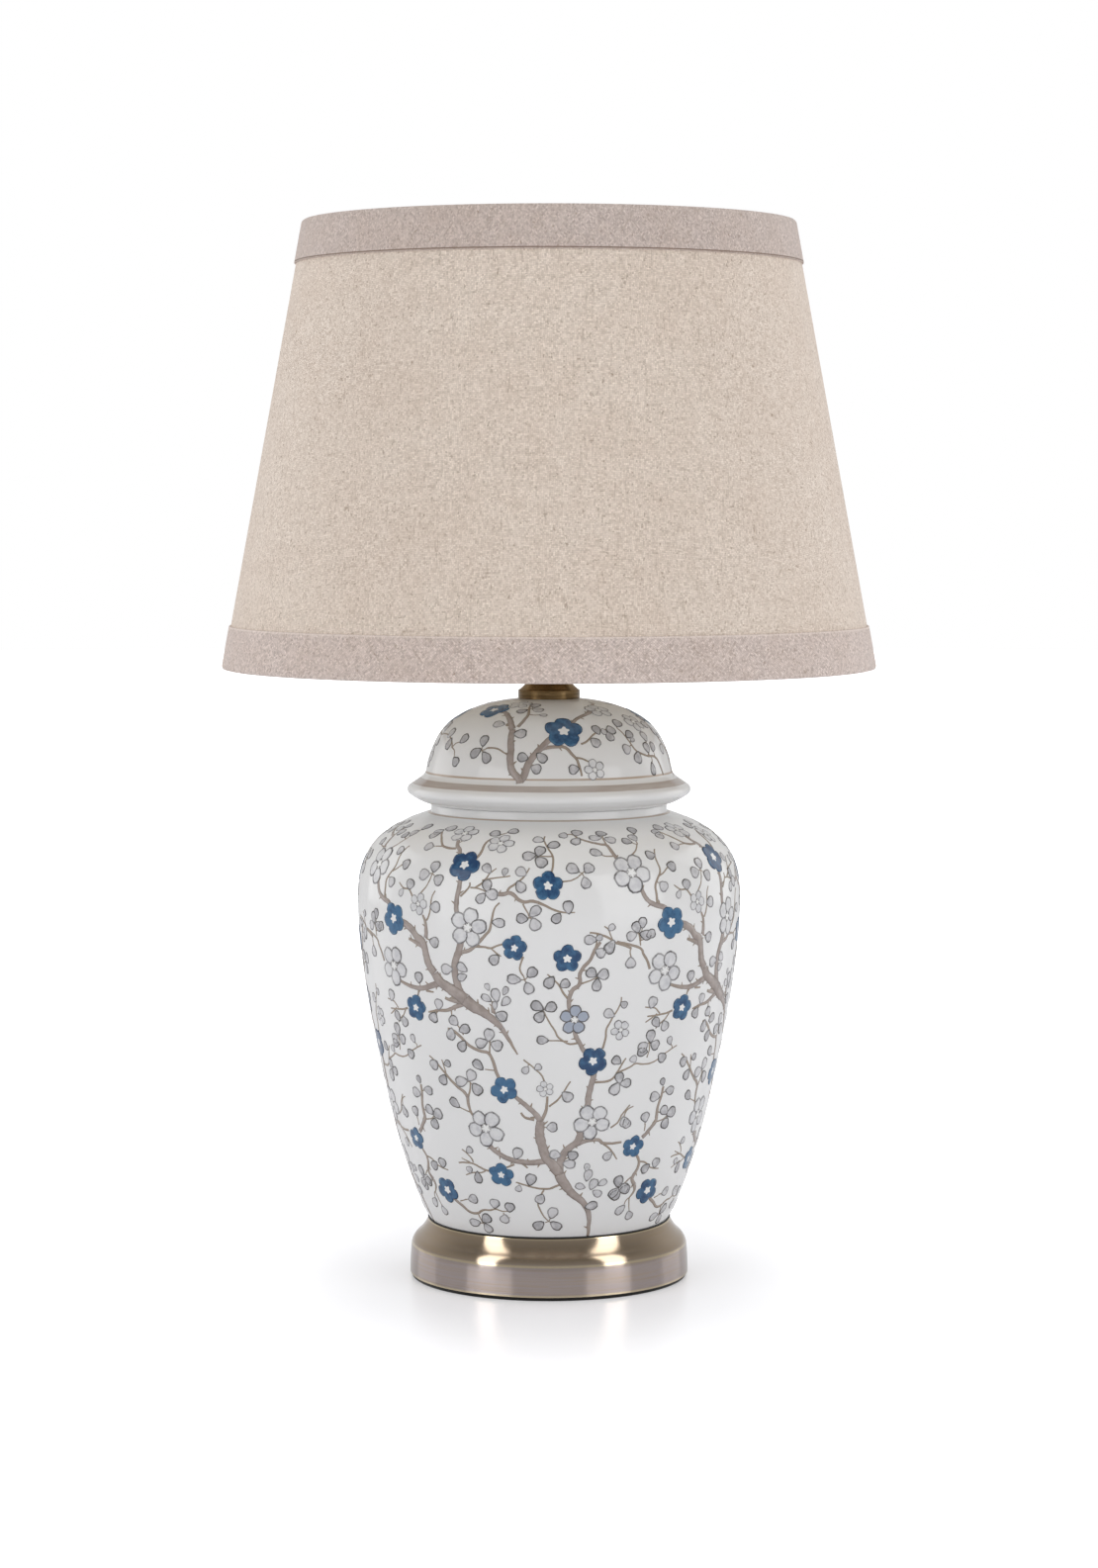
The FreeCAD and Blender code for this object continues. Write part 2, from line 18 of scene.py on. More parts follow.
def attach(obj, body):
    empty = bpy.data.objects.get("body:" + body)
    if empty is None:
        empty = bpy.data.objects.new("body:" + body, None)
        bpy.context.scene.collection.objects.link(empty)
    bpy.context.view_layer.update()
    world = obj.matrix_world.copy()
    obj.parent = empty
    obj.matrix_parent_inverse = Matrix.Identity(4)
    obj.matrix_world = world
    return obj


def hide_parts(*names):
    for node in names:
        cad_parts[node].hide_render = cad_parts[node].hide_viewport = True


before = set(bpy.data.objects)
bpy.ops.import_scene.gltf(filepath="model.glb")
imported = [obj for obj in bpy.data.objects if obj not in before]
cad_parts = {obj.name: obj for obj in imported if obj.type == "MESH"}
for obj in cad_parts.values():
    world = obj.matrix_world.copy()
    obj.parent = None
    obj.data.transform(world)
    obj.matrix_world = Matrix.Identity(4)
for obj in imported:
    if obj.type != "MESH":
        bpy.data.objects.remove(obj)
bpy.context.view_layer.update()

MM = 0.001

# %% [markdown]
# ## Small helpers
#
# A shader or a geometry tree is a graph, and writing it in Python is clearer when one short call
# adds a node and fills its inputs. An input may be a plain value, or the output of another node,
# which becomes a link. Sums could be one call inside another, but they soon grow hard to read. So
# sockets learn the plain signs + - * / and **, and each sign adds one Math node to their tree.

# %% Helpers for node graphs
def is_socket(value):
    return isinstance(value, bpy.types.NodeSocket)


def home(*values):
    """The tree that the sockets among some values belong to."""
    return next(value.id_data for value in values if is_socket(value))


def feed(socket, value):
    """Gives a socket a plain value, or links it to another node's output."""
    if is_socket(value):
        socket.id_data.links.new(value, socket)
    else:
        socket.default_value = value


def add_node(tree, kind, inputs=None, **settings):
    """Adds a node. inputs maps a socket's name or number to a value or another node's output."""
    node = tree.nodes.new(kind)
    for name, value in settings.items():
        setattr(node, name, value)
    for key, value in (inputs or {}).items():
        feed(node.inputs[key], value)
    return node


def node_out(tree, kind, inputs=None, **settings):
    """Adds a node and gives its first output."""
    return add_node(tree, kind, inputs, **settings).outputs[0]


def maths(operation, first, second=0.0):
    return node_out(home(first, second), "ShaderNodeMath", {0: first, 1: second},
        operation=operation)


def teach(sign, operation):
    """Lets a sign between a socket and a number, or another socket, stand for a Math node."""
    setattr(bpy.types.NodeSocket, "__%s__" % sign, lambda own, other: maths(operation, own, other))
    setattr(bpy.types.NodeSocket, "__r%s__" % sign, lambda own, other: maths(operation, other, own))


for sign, operation in (("add", "ADD"), ("sub", "SUBTRACT"), ("mul", "MULTIPLY"),
        ("truediv", "DIVIDE"), ("pow", "POWER")):
    teach(sign, operation)


def vector(x=0.0, y=0.0, z=0.0):
    return node_out(home(x, y, z), "ShaderNodeCombineXYZ", {0: x, 1: y, 2: z})


def parts(point):
    return add_node(point.id_data, "ShaderNodeSeparateXYZ", {0: point}).outputs


def vector_maths(operation, first, second):
    return node_out(home(first, second), "ShaderNodeVectorMath", {0: first, 1: second},
        operation=operation)


def noise(point, scale, detail=2.0, roughness=0.5):
    return node_out(point.id_data, "ShaderNodeTexNoise", {
        "Vector": point, "Scale": scale, "Detail": detail, "Roughness": roughness})


def remap(value, low, high, new_low=0.0, new_high=1.0):
    """A smooth step from one range to another."""
    ends = {"From Min": low, "From Max": high, "To Min": new_low, "To Max": new_high}
    return node_out(value.id_data, "ShaderNodeMapRange", {"Value": value, **ends},
        interpolation_type="SMOOTHSTEP")


def mix(factor, first, second):
    """Mixes two numbers."""
    return node_out(factor.id_data, "ShaderNodeMix", {0: factor, 2: first, 3: second})


def blend(factor, first, second):
    """Mixes two colours. A plain colour may have three or four parts."""
    first, second = (c if is_socket(c) else (*c[:3], 1.0) for c in (first, second))
    return add_node(factor.id_data, "ShaderNodeMix", {0: factor, 6: first, 7: second},
        data_type="RGBA").outputs[2]


def ink(*parts_of_255):
    """A colour as it looks on a screen, turned into the linear values that light needs."""
    return tuple(((part / 255 + 0.055) / 1.055) ** 2.4 if part > 10 else part / 255 / 12.92
        for part in parts_of_255) + (1.0,)


def darker(share, colour):
    return tuple(share * part for part in colour[:3])


def new_material(name, **sockets):
    """A material whose constants sit on the shader's own sockets."""
    finish = bpy.data.materials.new(name)
    finish.use_nodes = True
    shader = finish.node_tree.nodes["Principled BSDF"]
    for socket, value in sockets.items():
        shader.inputs[socket.replace("_", " ")].default_value = value
    return finish, finish.node_tree, shader


def surface(shader, colour, height=None, distance=0.0, strength=1.0):
    """Links a colour to the shader, and a height as fine relief."""
    feed(shader.inputs["Base Color"], colour)
    if height is not None:
        relief = {"Height": height, "Distance": distance, "Strength": strength}
        feed(shader.inputs["Normal"], node_out(shader.id_data, "ShaderNodeBump", relief))


def object_point(tree):
    return add_node(tree, "ShaderNodeTexCoord").outputs["Object"]


def stretched(point, scale):
    return node_out(point.id_data, "ShaderNodeMapping", {"Vector": point, "Scale": scale})


def mottled(name, light, dark, cloud, grain, relief, **sockets):
    """Two tones mixed by one noise, with another as relief.

    cloud and grain are (scale, detail, roughness), relief is (distance, strength)."""
    finish, tree, shader = new_material(name, **sockets)
    point = object_point(tree)
    surface(shader, blend(noise(point, *cloud), light, dark), noise(point, *grain), *relief)
    return finish


def new_object(name, mesh):
    item = bpy.data.objects.new(name, mesh)
    bpy.context.scene.collection.objects.link(item)
    return item


def write_columns(mesh, columns):
    """Writes named numbers, one for each point of a mesh."""
    for name, numbers in columns.items():
        mesh.attributes.new(name, "FLOAT", "POINT").data.foreach_set("value", numbers)


print("helpers ready")

# %% [markdown]
# ## The view
#
# The photograph was taken with a long lens from a little over two metres, just above the middle of
# the lamp, tilted down by 4.4 degrees. A long lens keeps the shade's rims as shallow ellipses.
# The camera is set from those measured numbers, so no shift is needed.

# %% Camera
SENSOR_WIDTH, LENS = 36.0, 86.65                    # millimetres
DISTANCE, EYE_HEIGHT, TILT = 2.205, 0.4595, 4.4     # metres, metres, degrees
camera_data = bpy.data.cameras.new("camera")
camera_data.sensor_fit = "AUTO"
camera_data.sensor_width = SENSOR_WIDTH
camera_data.lens = LENS
camera = new_object("camera", camera_data)
camera.location = (0.0, -DISTANCE, EYE_HEIGHT)
camera.rotation_euler = (math.radians(90.0 - TILT), 0.0, 0.0)
bpy.context.scene.camera = camera
bpy.context.scene.view_settings.view_transform = "Standard"
print("camera at", tuple(round(v, 3) for v in camera.location))

# %% [markdown]
# ## Studio
#
# The photograph has a white sweep that melts into a white background, two tall soft boxes at the
# front, a weaker pair behind and light from above. Only what the camera sees of the sweep is
# lifted to white, so the lamp itself is lit at a plain level and keeps its soft shadow.
# Metal and glass mirror their surroundings. A plain white room would make them flat, so they see
# their own: mid grey towards the viewer, lighter behind the lamp and dimmer overhead. Two narrow
# strong lamps, leant with the foot's slope, are kept for the metal and linked at the end.

# %% World, floor and lamps
ROOM_LEVELS = (0.45, 0.85)      # what cloth and clay see: the viewer's side, behind the lamp
MIRROR_LEVELS = (0.43, 0.62)    # what a mirroring surface sees there
CEILING_LEVEL = 0.62            # the share of that which is left overhead
FLOOR_LIFTS = (0.24, 0.95)      # glow of the sweep, for the camera only: at the lamp, far from it
WHITE = (1.0, 1.0, 1.0, 1.0)


def build_world():
    world = bpy.data.worlds.new("studio")
    bpy.context.scene.world = world
    world.use_nodes = True
    tree = world.node_tree
    tree.nodes.clear()
    path = add_node(tree, "ShaderNodeLightPath").outputs
    direction = parts(add_node(tree, "ShaderNodeTexCoord").outputs["Generated"])
    room = remap(remap(direction[1], -0.35, 0.25), 0.0, 1.0, *ROOM_LEVELS)
    ceiling = remap(direction[2], 0.35, 0.85, 1.0, CEILING_LEVEL)
    mirror = remap(direction[1], 0.1, 0.9, *MIRROR_LEVELS) * ceiling
    mirrored = maths("MAXIMUM", path["Is Glossy Ray"], path["Is Transmission Ray"])
    strength = mix(path["Is Camera Ray"], mix(mirrored, room, mirror), 1.0)
    background = node_out(tree, "ShaderNodeBackground", {"Color": WHITE, "Strength": strength})
    add_node(tree, "ShaderNodeOutputWorld", {0: background})


def build_floor():
    shape = bmesh.new()
    bmesh.ops.create_circle(shape, cap_ends=True, segments=96, radius=9.0)
    mesh = bpy.data.meshes.new("studio_floor")
    shape.to_mesh(mesh)
    shape.free()
    floor = new_object("studio_floor", mesh)
    finish = bpy.data.materials.new("white_sweep")
    finish.use_nodes = True
    tree = finish.node_tree
    tree.nodes.clear()
    card = node_out(tree, "ShaderNodeBsdfPrincipled", {"Base Color": (0.88, 0.88, 0.91, 1.0),
        "Roughness": 0.26, "Specular IOR Level": 0.5})
    oval = stretched(object_point(tree), (1.7, 1.0, 0.0))
    far = add_node(tree, "ShaderNodeVectorMath", {0: oval}, operation="LENGTH").outputs["Value"]
    seen = add_node(tree, "ShaderNodeLightPath").outputs["Is Camera Ray"]
    lift = seen * remap(far, 0.13, 0.62, *FLOOR_LIFTS)
    glow = node_out(tree, "ShaderNodeEmission", {"Color": WHITE, "Strength": lift})
    both = node_out(tree, "ShaderNodeAddShader", {0: card, 1: glow})
    add_node(tree, "ShaderNodeOutputMaterial", {0: both})
    mesh.materials.append(finish)


def soft_box(name, azimuth, distance, height, width, tall, power, aim=0.3, lean=0.0):
    """A rectangular lamp that faces the object. Azimuth 0 is the viewer's side, plus is right."""
    data = bpy.data.lights.new(name, "AREA")
    data.shape = "RECTANGLE"
    data.size = width
    data.size_y = tall
    data.energy = power
    box = new_object(name, data)
    angle, tip = math.radians(azimuth), math.radians(lean)
    box.location = (distance * math.sin(angle), -distance * math.cos(angle), height)
    back = (box.location - Vector((0.0, 0.0, aim))).normalized()
    across = Vector((0.0, math.sin(tip), math.cos(tip))).cross(back).normalized()
    box.rotation_euler = Matrix((across, back.cross(across), back)).transposed().to_euler()
    return box


build_world()
build_floor()
BROAD_BOXES = [soft_box(*row) for row in (
    ("left_box", -50, 2.0, 0.83, 1.5, 1.8, 12.8), ("right_box", 50, 2.0, 0.83, 1.5, 1.8, 13.7),
    ("left_rim", -121, 1.5, 0.80, 0.9, 1.5, 3.2), ("right_rim", 121, 1.5, 0.80, 0.9, 1.5, 3.2),
    ("top_box", 0, 0.01, 2.0, 1.4, 1.4, 2.6, 0.0))]
METAL_STRIPS = [soft_box(*row) for row in (
    ("left_strip", -60.5, 1.724, 1.45, 0.62, 2.75, 18.0, 0.3, 19.0),
    ("right_strip", 64.0, 1.78, 1.45, 0.74, 2.75, 21.0, 0.3, 19.0))]
print("studio ready")

# %% [markdown]
# ## One lathe for every turned piece
#
# Nearly all of this lamp is turned: the jar on a potter's wheel, the foot spun over a chuck, the
# cap and washers on a lathe, and even the shade's skin is part of a cone. A Screw modifier or a
# spin in bmesh could make them. A geometry tree is a better teacher, because it shows the rule:
# take a grid, send each row to one point of the outline and turn each column by one step.
# The tree also writes a UV map whose first number is the turn, from 0 to 1, and whose second is
# the distance run along the outline. Cloth and painted bands are laid out on that map.

# %% The turning tree


def make_tree(name, inputs):
    """An empty geometry tree with a geometry input and output and named inputs."""
    tree = bpy.data.node_groups.new(name, "GeometryNodeTree")
    tree.interface.new_socket("Geometry", in_out="INPUT", socket_type="NodeSocketGeometry")
    for label, kind, value in inputs:
        socket = tree.interface.new_socket(label, in_out="INPUT", socket_type=kind)
        if value is not None:
            socket.default_value = value
    tree.interface.new_socket("Geometry", in_out="OUTPUT", socket_type="NodeSocketGeometry")
    return tree, add_node(tree, "NodeGroupInput").outputs


def end_tree(tree, geometry, finish):
    """Every tree ends the same way: instances become real and get their finish."""
    real = node_out(tree, "GeometryNodeRealizeInstances", {0: geometry})
    painted = node_out(tree, "GeometryNodeSetMaterial", {"Geometry": real, "Material": finish})
    add_node(tree, "NodeGroupOutput", {0: painted})


def named(tree, name, kind="FLOAT"):
    return node_out(tree, "GeometryNodeInputNamedAttribute", {"Name": name}, data_type=kind)


def places(tree):
    return node_out(tree, "GeometryNodeInputPosition")


def index_of(tree):
    return node_out(tree, "GeometryNodeInputIndex")


def store(tree, geometry, name, value, domain="POINT", kind="FLOAT"):
    return node_out(tree, "GeometryNodeStoreNamedAttribute", {"Geometry": geometry, "Name": name,
        "Value": value}, data_type=kind, domain=domain)


def on_circle(radius, angle, height):
    """A point at that distance from the axis, turned from the viewer's side towards the right."""
    x = radius * maths("SINE", angle)
    y = radius * maths("COSINE", angle) * -1.0
    return vector(x, y, height)


THREAD_FADE = 0.0006        # a thread runs out over this height, in metres


def build_turning_tree():
    tree, given = make_tree("turned_on_a_lathe", [
        ("Segments", "NodeSocketInt", 96), ("Sharp Angle", "NodeSocketFloat", 0.6),
        ("Thread Pitch", "NodeSocketFloat", 0.003), ("Thread Depth", "NodeSocketFloat", 0.0),
        ("Thread Lowest", "NodeSocketFloat", 0.0), ("Thread Highest", "NodeSocketFloat", 1.0),
        ("Material", "NodeSocketMaterial", None)])
    outline = given["Geometry"]
    rows = node_out(tree, "GeometryNodeAttributeDomainSize", {0: outline}, component="MESH")
    columns = given["Segments"] + 1
    grid = node_out(tree, "GeometryNodeMeshGrid", {"Size X": 1.0, "Size Y": 1.0,
        "Vertices X": columns, "Vertices Y": rows})
    index = index_of(tree)
    column = maths("FLOOR", index / rows)
    row = index - column * rows
    position = places(tree)
    place = node_out(tree, "GeometryNodeSampleIndex", {"Geometry": outline, "Index": row,
        "Value": position}, data_type="FLOAT_VECTOR")
    run = node_out(tree, "GeometryNodeSampleIndex", {"Geometry": outline, "Index": row,
        "Value": named(tree, "run")}, data_type="FLOAT")
    turn = column / given["Segments"]
    unrolled = vector(turn, run)
    flat = store(tree, grid, "unrolled_point", unrolled, "POINT", "FLOAT_VECTOR")
    flat = store(tree, flat, "unrolled", named(tree, "unrolled_point", "FLOAT_VECTOR"), "CORNER",
        "FLOAT2")
    split = parts(place)
    height = split[2]
    coils = height / given["Thread Pitch"] + turn
    wave = maths("SINE", coils * (2 * math.pi))
    inside = remap(height - given["Thread Lowest"], 0.0, THREAD_FADE) * remap(
        given["Thread Highest"] - height, 0.0, THREAD_FADE)
    lift = wave * inside * given["Thread Depth"]
    radius = split[0] + lift
    angle = turn * (2 * math.pi)
    spun = node_out(tree, "GeometryNodeSetPosition",
        {"Geometry": flat, "Position": on_circle(radius, angle, height)})
    closed = node_out(tree, "GeometryNodeMergeByDistance", {"Geometry": spun, "Distance": 2e-06})
    clean = node_out(tree, "GeometryNodeRemoveAttribute",
        {"Geometry": closed, "Name": "unrolled_point"})
    smooth = node_out(tree, "GeometryNodeSetShadeSmooth", {"Geometry": clean, "Shade Smooth": True},
        domain="FACE")
    crease = node_out(tree, "FunctionNodeCompare", {"B": given["Sharp Angle"],
        "A": node_out(tree, "GeometryNodeInputMeshEdgeAngle")}, data_type="FLOAT",
        operation="LESS_THAN")
    edged = node_out(tree, "GeometryNodeSetShadeSmooth",
        {"Geometry": smooth, "Shade Smooth": crease}, domain="EDGE")
    end_tree(tree, edged, given["Material"])
    return tree


TURNING_TREE = build_turning_tree()
print("turning tree has", len(TURNING_TREE.nodes), "nodes")

# %% [markdown]
# ## Outlines
#
# An outline is drawn once as a list of steps, in millimetres from the lamp's axis: straight runs,
# arcs through a point, and smooth runs through measured points. A smooth run is a cubic spline,
# because that is how the construction model draws the jar and the dome.

# %% Outline helpers


def spline(points, per_run=8):
    """A cubic spline through the points, spaced by the length between them."""
    knots = [0.0]
    for first, second in zip(points, points[1:]):
        knots.append(knots[-1] + math.dist(first, second))
    count = len(points)

    def end_slope(a, b, c, axis):
        ha, hb = knots[b] - knots[a], knots[c] - knots[b]
        da, db = (points[b][axis] - points[a][axis]) / ha, (points[c][axis] - points[b][axis]) / hb
        return da + (da - db) * ha / (ha + hb)

    slopes = []
    for axis in (0, 1):
        low = end_slope(0, 1, 2, axis)
        high = end_slope(count - 1, count - 2, count - 3, axis)
        slope = [low] + [0.0] * (count - 2) + [high]
        for sweep in range(60):
            for i in range(1, count - 1):
                before, after = knots[i] - knots[i - 1], knots[i + 1] - knots[i]
                to_here = points[i][axis] - points[i - 1][axis]
                to_next = points[i + 1][axis] - points[i][axis]
                rise = 3 * (after / before * to_here + before / after * to_next)
                slope[i] = (rise - after * slope[i - 1] - before * slope[i + 1]) / (
                    2 * (before + after))
        slopes.append(slope)
    path = [points[0]]
    for i in range(count - 1):
        span = knots[i + 1] - knots[i]
        for k in range(1, per_run + 1):
            t = k / per_run
            a, b = 2 * t**3 - 3 * t**2 + 1, t**3 - 2 * t**2 + t
            c, d = -2 * t**3 + 3 * t**2, t**3 - t**2
            path.append(tuple(
                a * points[i][axis] + b * span * slopes[axis][i]
                + c * points[i + 1][axis] + d * span * slopes[axis][i + 1] for axis in (0, 1)))
    return path


def arc(start, through, end, pieces=8):
    """Points on the circle through three points, from the first to the last."""
    (ax, ay), (bx, by), (cx, cy) = start, through, end
    d = 2 * (ax * (by - cy) + bx * (cy - ay) + cx * (ay - by))
    aa, bb, cc = ax**2 + ay**2, bx**2 + by**2, cx**2 + cy**2
    ux = (aa * (by - cy) + bb * (cy - ay) + cc * (ay - by)) / d
    uy = (aa * (cx - bx) + bb * (ax - cx) + cc * (bx - ax)) / d
    radius = math.dist((ux, uy), start)
    first = math.atan2(ay - uy, ax - ux)
    middle = (math.atan2(by - uy, bx - ux) - first) % (2 * math.pi)
    last = (math.atan2(cy - uy, cx - ux) - first) % (2 * math.pi)
    sweep = last if middle < last else last - 2 * math.pi
    return [(ux + radius * math.cos(first + sweep * k / pieces),
        uy + radius * math.sin(first + sweep * k / pieces)) for k in range(1, pieces)] + [end]


def draw(start, *steps, closed=True):
    """A step is a point, a pair (through, end) for an arc, or a list of points for a smooth run."""
    path = [start]
    for step in steps:
        if isinstance(step, list):
            path += spline(([path[-1]] if math.dist(step[0], path[-1]) > 0.01 else []) + step)[1:]
        elif isinstance(step[0], tuple):
            path += arc(path[-1], *step)
        else:
            path.append(step)
    if closed and path[-1] != start:
        path.append(start)
    return path


def divided(path, longest):
    """Cuts long straight runs into shorter ones, so that a thread or a wave has points to move."""
    fine = [path[0]]
    for first, second in zip(path, path[1:]):
        pieces = max(1, math.ceil(math.dist(first, second) / longest))
        fine += [tuple(a + (b - a) * k / pieces for a, b in zip(first, second))
            for k in range(1, pieces + 1)]
    return fine


def set_inputs(modifier, values):
    """Fills a modifier's inputs by the identifiers that lie behind their names."""
    for item in modifier.node_group.interface.items_tree:
        if item.item_type == "SOCKET" and item.in_out == "INPUT" and item.name in values:
            modifier[item.identifier] = values[item.name]


def grow(source, tree, values):
    """Runs a geometry tree on an object and returns its result as a plain mesh."""
    modifier = source.modifiers.new("grown", "NODES")
    modifier.node_group = tree
    set_inputs(modifier, values)
    bpy.context.scene.collection.objects.link(source)
    shape = source.evaluated_get(bpy.context.evaluated_depsgraph_get())
    mesh = bpy.data.meshes.new_from_object(shape)
    source.modifiers.clear()
    bpy.data.objects.remove(source)
    return mesh


def settle(piece, body, slot, *nodes):
    """Says what a finished piece rides on and hides what it stands for. slot is not used."""
    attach(piece, body)
    if nodes:
        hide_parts(*nodes)


def outward(mesh):
    shape = bmesh.new()
    shape.from_mesh(mesh)
    bmesh.ops.recalc_face_normals(shape, faces=shape.faces)
    shape.to_mesh(mesh)
    shape.free()


def outline_mesh(name, path):
    mesh = bpy.data.meshes.new(name)
    steps = [(i, i + 1) for i in range(len(path) - 1)]
    mesh.from_pydata([(r * MM, 0.0, z * MM) for r, z in path], steps, [])
    return mesh


def turned_mesh(name, path, finish, segments=192, sharp=0.6, thread=None):
    """Turns an outline in millimetres. thread: (pitch, depth, lowest, highest), in millimetres."""
    line = outline_mesh(name + "_outline", path)
    run = line.attributes.new("run", "FLOAT", "POINT")
    total = 0.0
    for i, point in enumerate(path):
        total += math.dist(path[i - 1], point) * MM if i else 0.0
        run.data[i].value = total
    values = {"Segments": segments, "Sharp Angle": sharp, "Material": finish}
    if thread:
        for label, value in zip(("Pitch", "Depth", "Lowest", "Highest"), thread):
            values["Thread " + label] = value * MM
    mesh = grow(bpy.data.objects.new(name + "_outline", line), TURNING_TREE, values)
    mesh.name = name
    outward(mesh)
    return mesh


def turned(name, path, finish, body, slot, nodes=(), **options):
    mesh = turned_mesh(name, path, finish, **options)
    settle(new_object(name, mesh), body, slot, *nodes)
    print(name, len(mesh.vertices), "points,", len(mesh.polygons), "faces")


JAR_SIDE = [(70.7, 35.0), (75.7, 45.5), (82.3, 63.3), (89.7, 87.0), (98.0, 122.4), (105.0, 157.6),
    (110.1, 192.8), (112.1, 223.5), (108.7, 245.2), (98.8, 259.7), (84.0, 268.9), (69.6, 274.2)]
LID_DOME = [(72.0, 298.6), (69.2, 308.9), (65.4, 317.5), (59.6, 325.1), (49.7, 332.0),
    (36.0, 337.2), (20.0, 340.0)]
jar_path = spline(JAR_SIDE)
jar_length = sum(math.dist(a, b) for a, b in zip(jar_path, jar_path[1:]))
print("the jar's side is", round(jar_length, 1), "mm long")

# %% [markdown]
# ## The glaze
#
# Glaze is clear glass over a white clay body. It is smooth, but never flat: it pulls into slow
# waves as it melts. Two layers of very low bump make the soft boxes' reflections wander a little.
# The painted rings at the neck and on the lid's rim are part of the glaze material, because they
# follow the wheel: they are picked out by the distance run along the outline.

# %% Glaze
def band(place, first, last, soft=0.0003):
    """1 between two places along an outline, in metres, with soft edges."""
    return remap(place, first - soft, first + soft) * remap(place, last + soft, last - soft)


def unrolled(tree):
    """The turn and the run along the outline that the lathe wrote on each piece."""
    return parts(node_out(tree, "ShaderNodeUVMap", uv_map="unrolled"))[:2]


def glaze(name, rings):
    """rings: (first run, last run, colour, strength), painted under the glaze."""
    finish, tree, shader = new_material(name, Roughness=0.12, IOR=1.5)
    point = object_point(tree)
    run = unrolled(tree)[1]
    colour = blend(noise(point, 14.0, 3.0), ink(229, 229, 229), ink(224, 224, 223))
    speck = remap(noise(point, 900.0, 1.0), 0.79, 0.84)
    colour = blend(speck * 0.25, colour, ink(190, 180, 168))
    brush = noise(stretched(point, (40.0, 40.0, 500.0)), 1.0, 3.0)
    for first, last, tint, strength in rings:
        wander = run + (brush - 0.5) * 0.0005
        amount = band(wander, first, last) * strength * remap(brush, 0.15, 0.6, 0.75, 1.0)
        colour = blend(amount, colour, tint)
    ripple = noise(point, 24.0, 1.0) + noise(point, 160.0, 2.0) * 0.06
    surface(shader, colour, ripple, 0.0012, 0.35)
    return finish


print("glaze helpers ready")

# %% [markdown]
# ## The jar
#
# A ginger jar is thrown or slip cast: a narrow foot, a swelling body, a round shoulder and a short
# straight neck that the lid covers. It is hollow, so its outline goes up the outside and comes
# back down the inside, and the lathe tree turns it whole.

# %% Jar


def inset(points, wall):
    """The same side moved in by the wall's thickness, square to itself."""
    inner = []
    for i, point in enumerate(points):
        before, after = points[max(i - 1, 0)], points[min(i + 1, len(points) - 1)]
        dx, dy = after[0] - before[0], after[1] - before[1]
        size = math.hypot(dx, dy)
        inner.append((point[0] - dy / size * wall, point[1] + dx / size * wall))
    return inner


jar_inside = inset(JAR_SIDE, 5.5)
jar_outline = draw((58.0, 31.0), (68.0, 31.0), ((68.7, 31.3), (69.0, 32.0)), (69.0, 33.6),
    ((69.4, 34.5), JAR_SIDE[0]), JAR_SIDE, (69.0, 274.7), (69.0, 278.2),
    ((68.8, 278.8), (68.2, 279.0)), (63.8, 279.0), ((63.2, 278.8), (63.0, 278.2)), (63.0, 270.0),
    jar_inside[10:0:-1], (63.0, 41.0), (8.0, 41.0), (8.0, 34.0), (56.0, 34.0))


def run_at(path, target):
    """The length run along an outline up to its nearest point to a target, in metres."""
    nearest = min(range(len(path)), key=lambda i: math.dist(path[i], target))
    return sum(math.dist(path[i], path[i + 1]) for i in range(nearest)) * MM


jar_neck_run = run_at(jar_outline, JAR_SIDE[-1])
JAR_GLAZE = glaze("jar_glaze", [(jar_neck_run - 0.0016, jar_neck_run + 0.0004, ink(160, 138, 116),
    0.85)])
turned("jar_body", jar_outline, JAR_GLAZE, "lamp_body", "glazed_ware", ("jar",), segments=256)

# %% [markdown]
# ## The lid
#
# The lid's rim flares past the neck, and its dome closes to a small flat that carries the metal
# cap. A spigot underneath drops into the neck and keeps it centred. A wide taupe ring is brushed
# on the slope just outside the dome, with a fine line above it.

# %% Lid
lid_inside = inset(LID_DOME, 5.0)
lid_outline = draw((62.2, 279.0), (69.2, 279.0), ((76.6, 281.6), (81.3, 284.5)),
    ((82.95, 287.2), (81.3, 290.1)), ((77.0, 293.0), (74.4, 294.9)), ((72.9, 296.4), LID_DOME[0]),
    LID_DOME, (19.0, 340.2), (6.0, 340.2), (6.0, 335.2), lid_inside[6:0:-1], (57.7, 288.0),
    (57.7, 268.6), (58.3, 268.0), (61.6, 268.0), (62.2, 268.6))
lid_slope_low = run_at(lid_outline, (81.3, 290.1))
lid_slope_high = run_at(lid_outline, (74.4, 294.9))
lid_dome_run = run_at(lid_outline, LID_DOME[0])
LID_GLAZE = glaze("lid_glaze", [(lid_slope_low + 0.0017, lid_slope_high - 0.0010,
    ink(150, 131, 118), 0.72), (lid_dome_run - 0.0016, lid_dome_run - 0.0004, ink(164, 136, 108),
    0.8)])
turned("lid_body", lid_outline, LID_GLAZE, "lamp_body", "glazed_ware", ("lid",), segments=256)
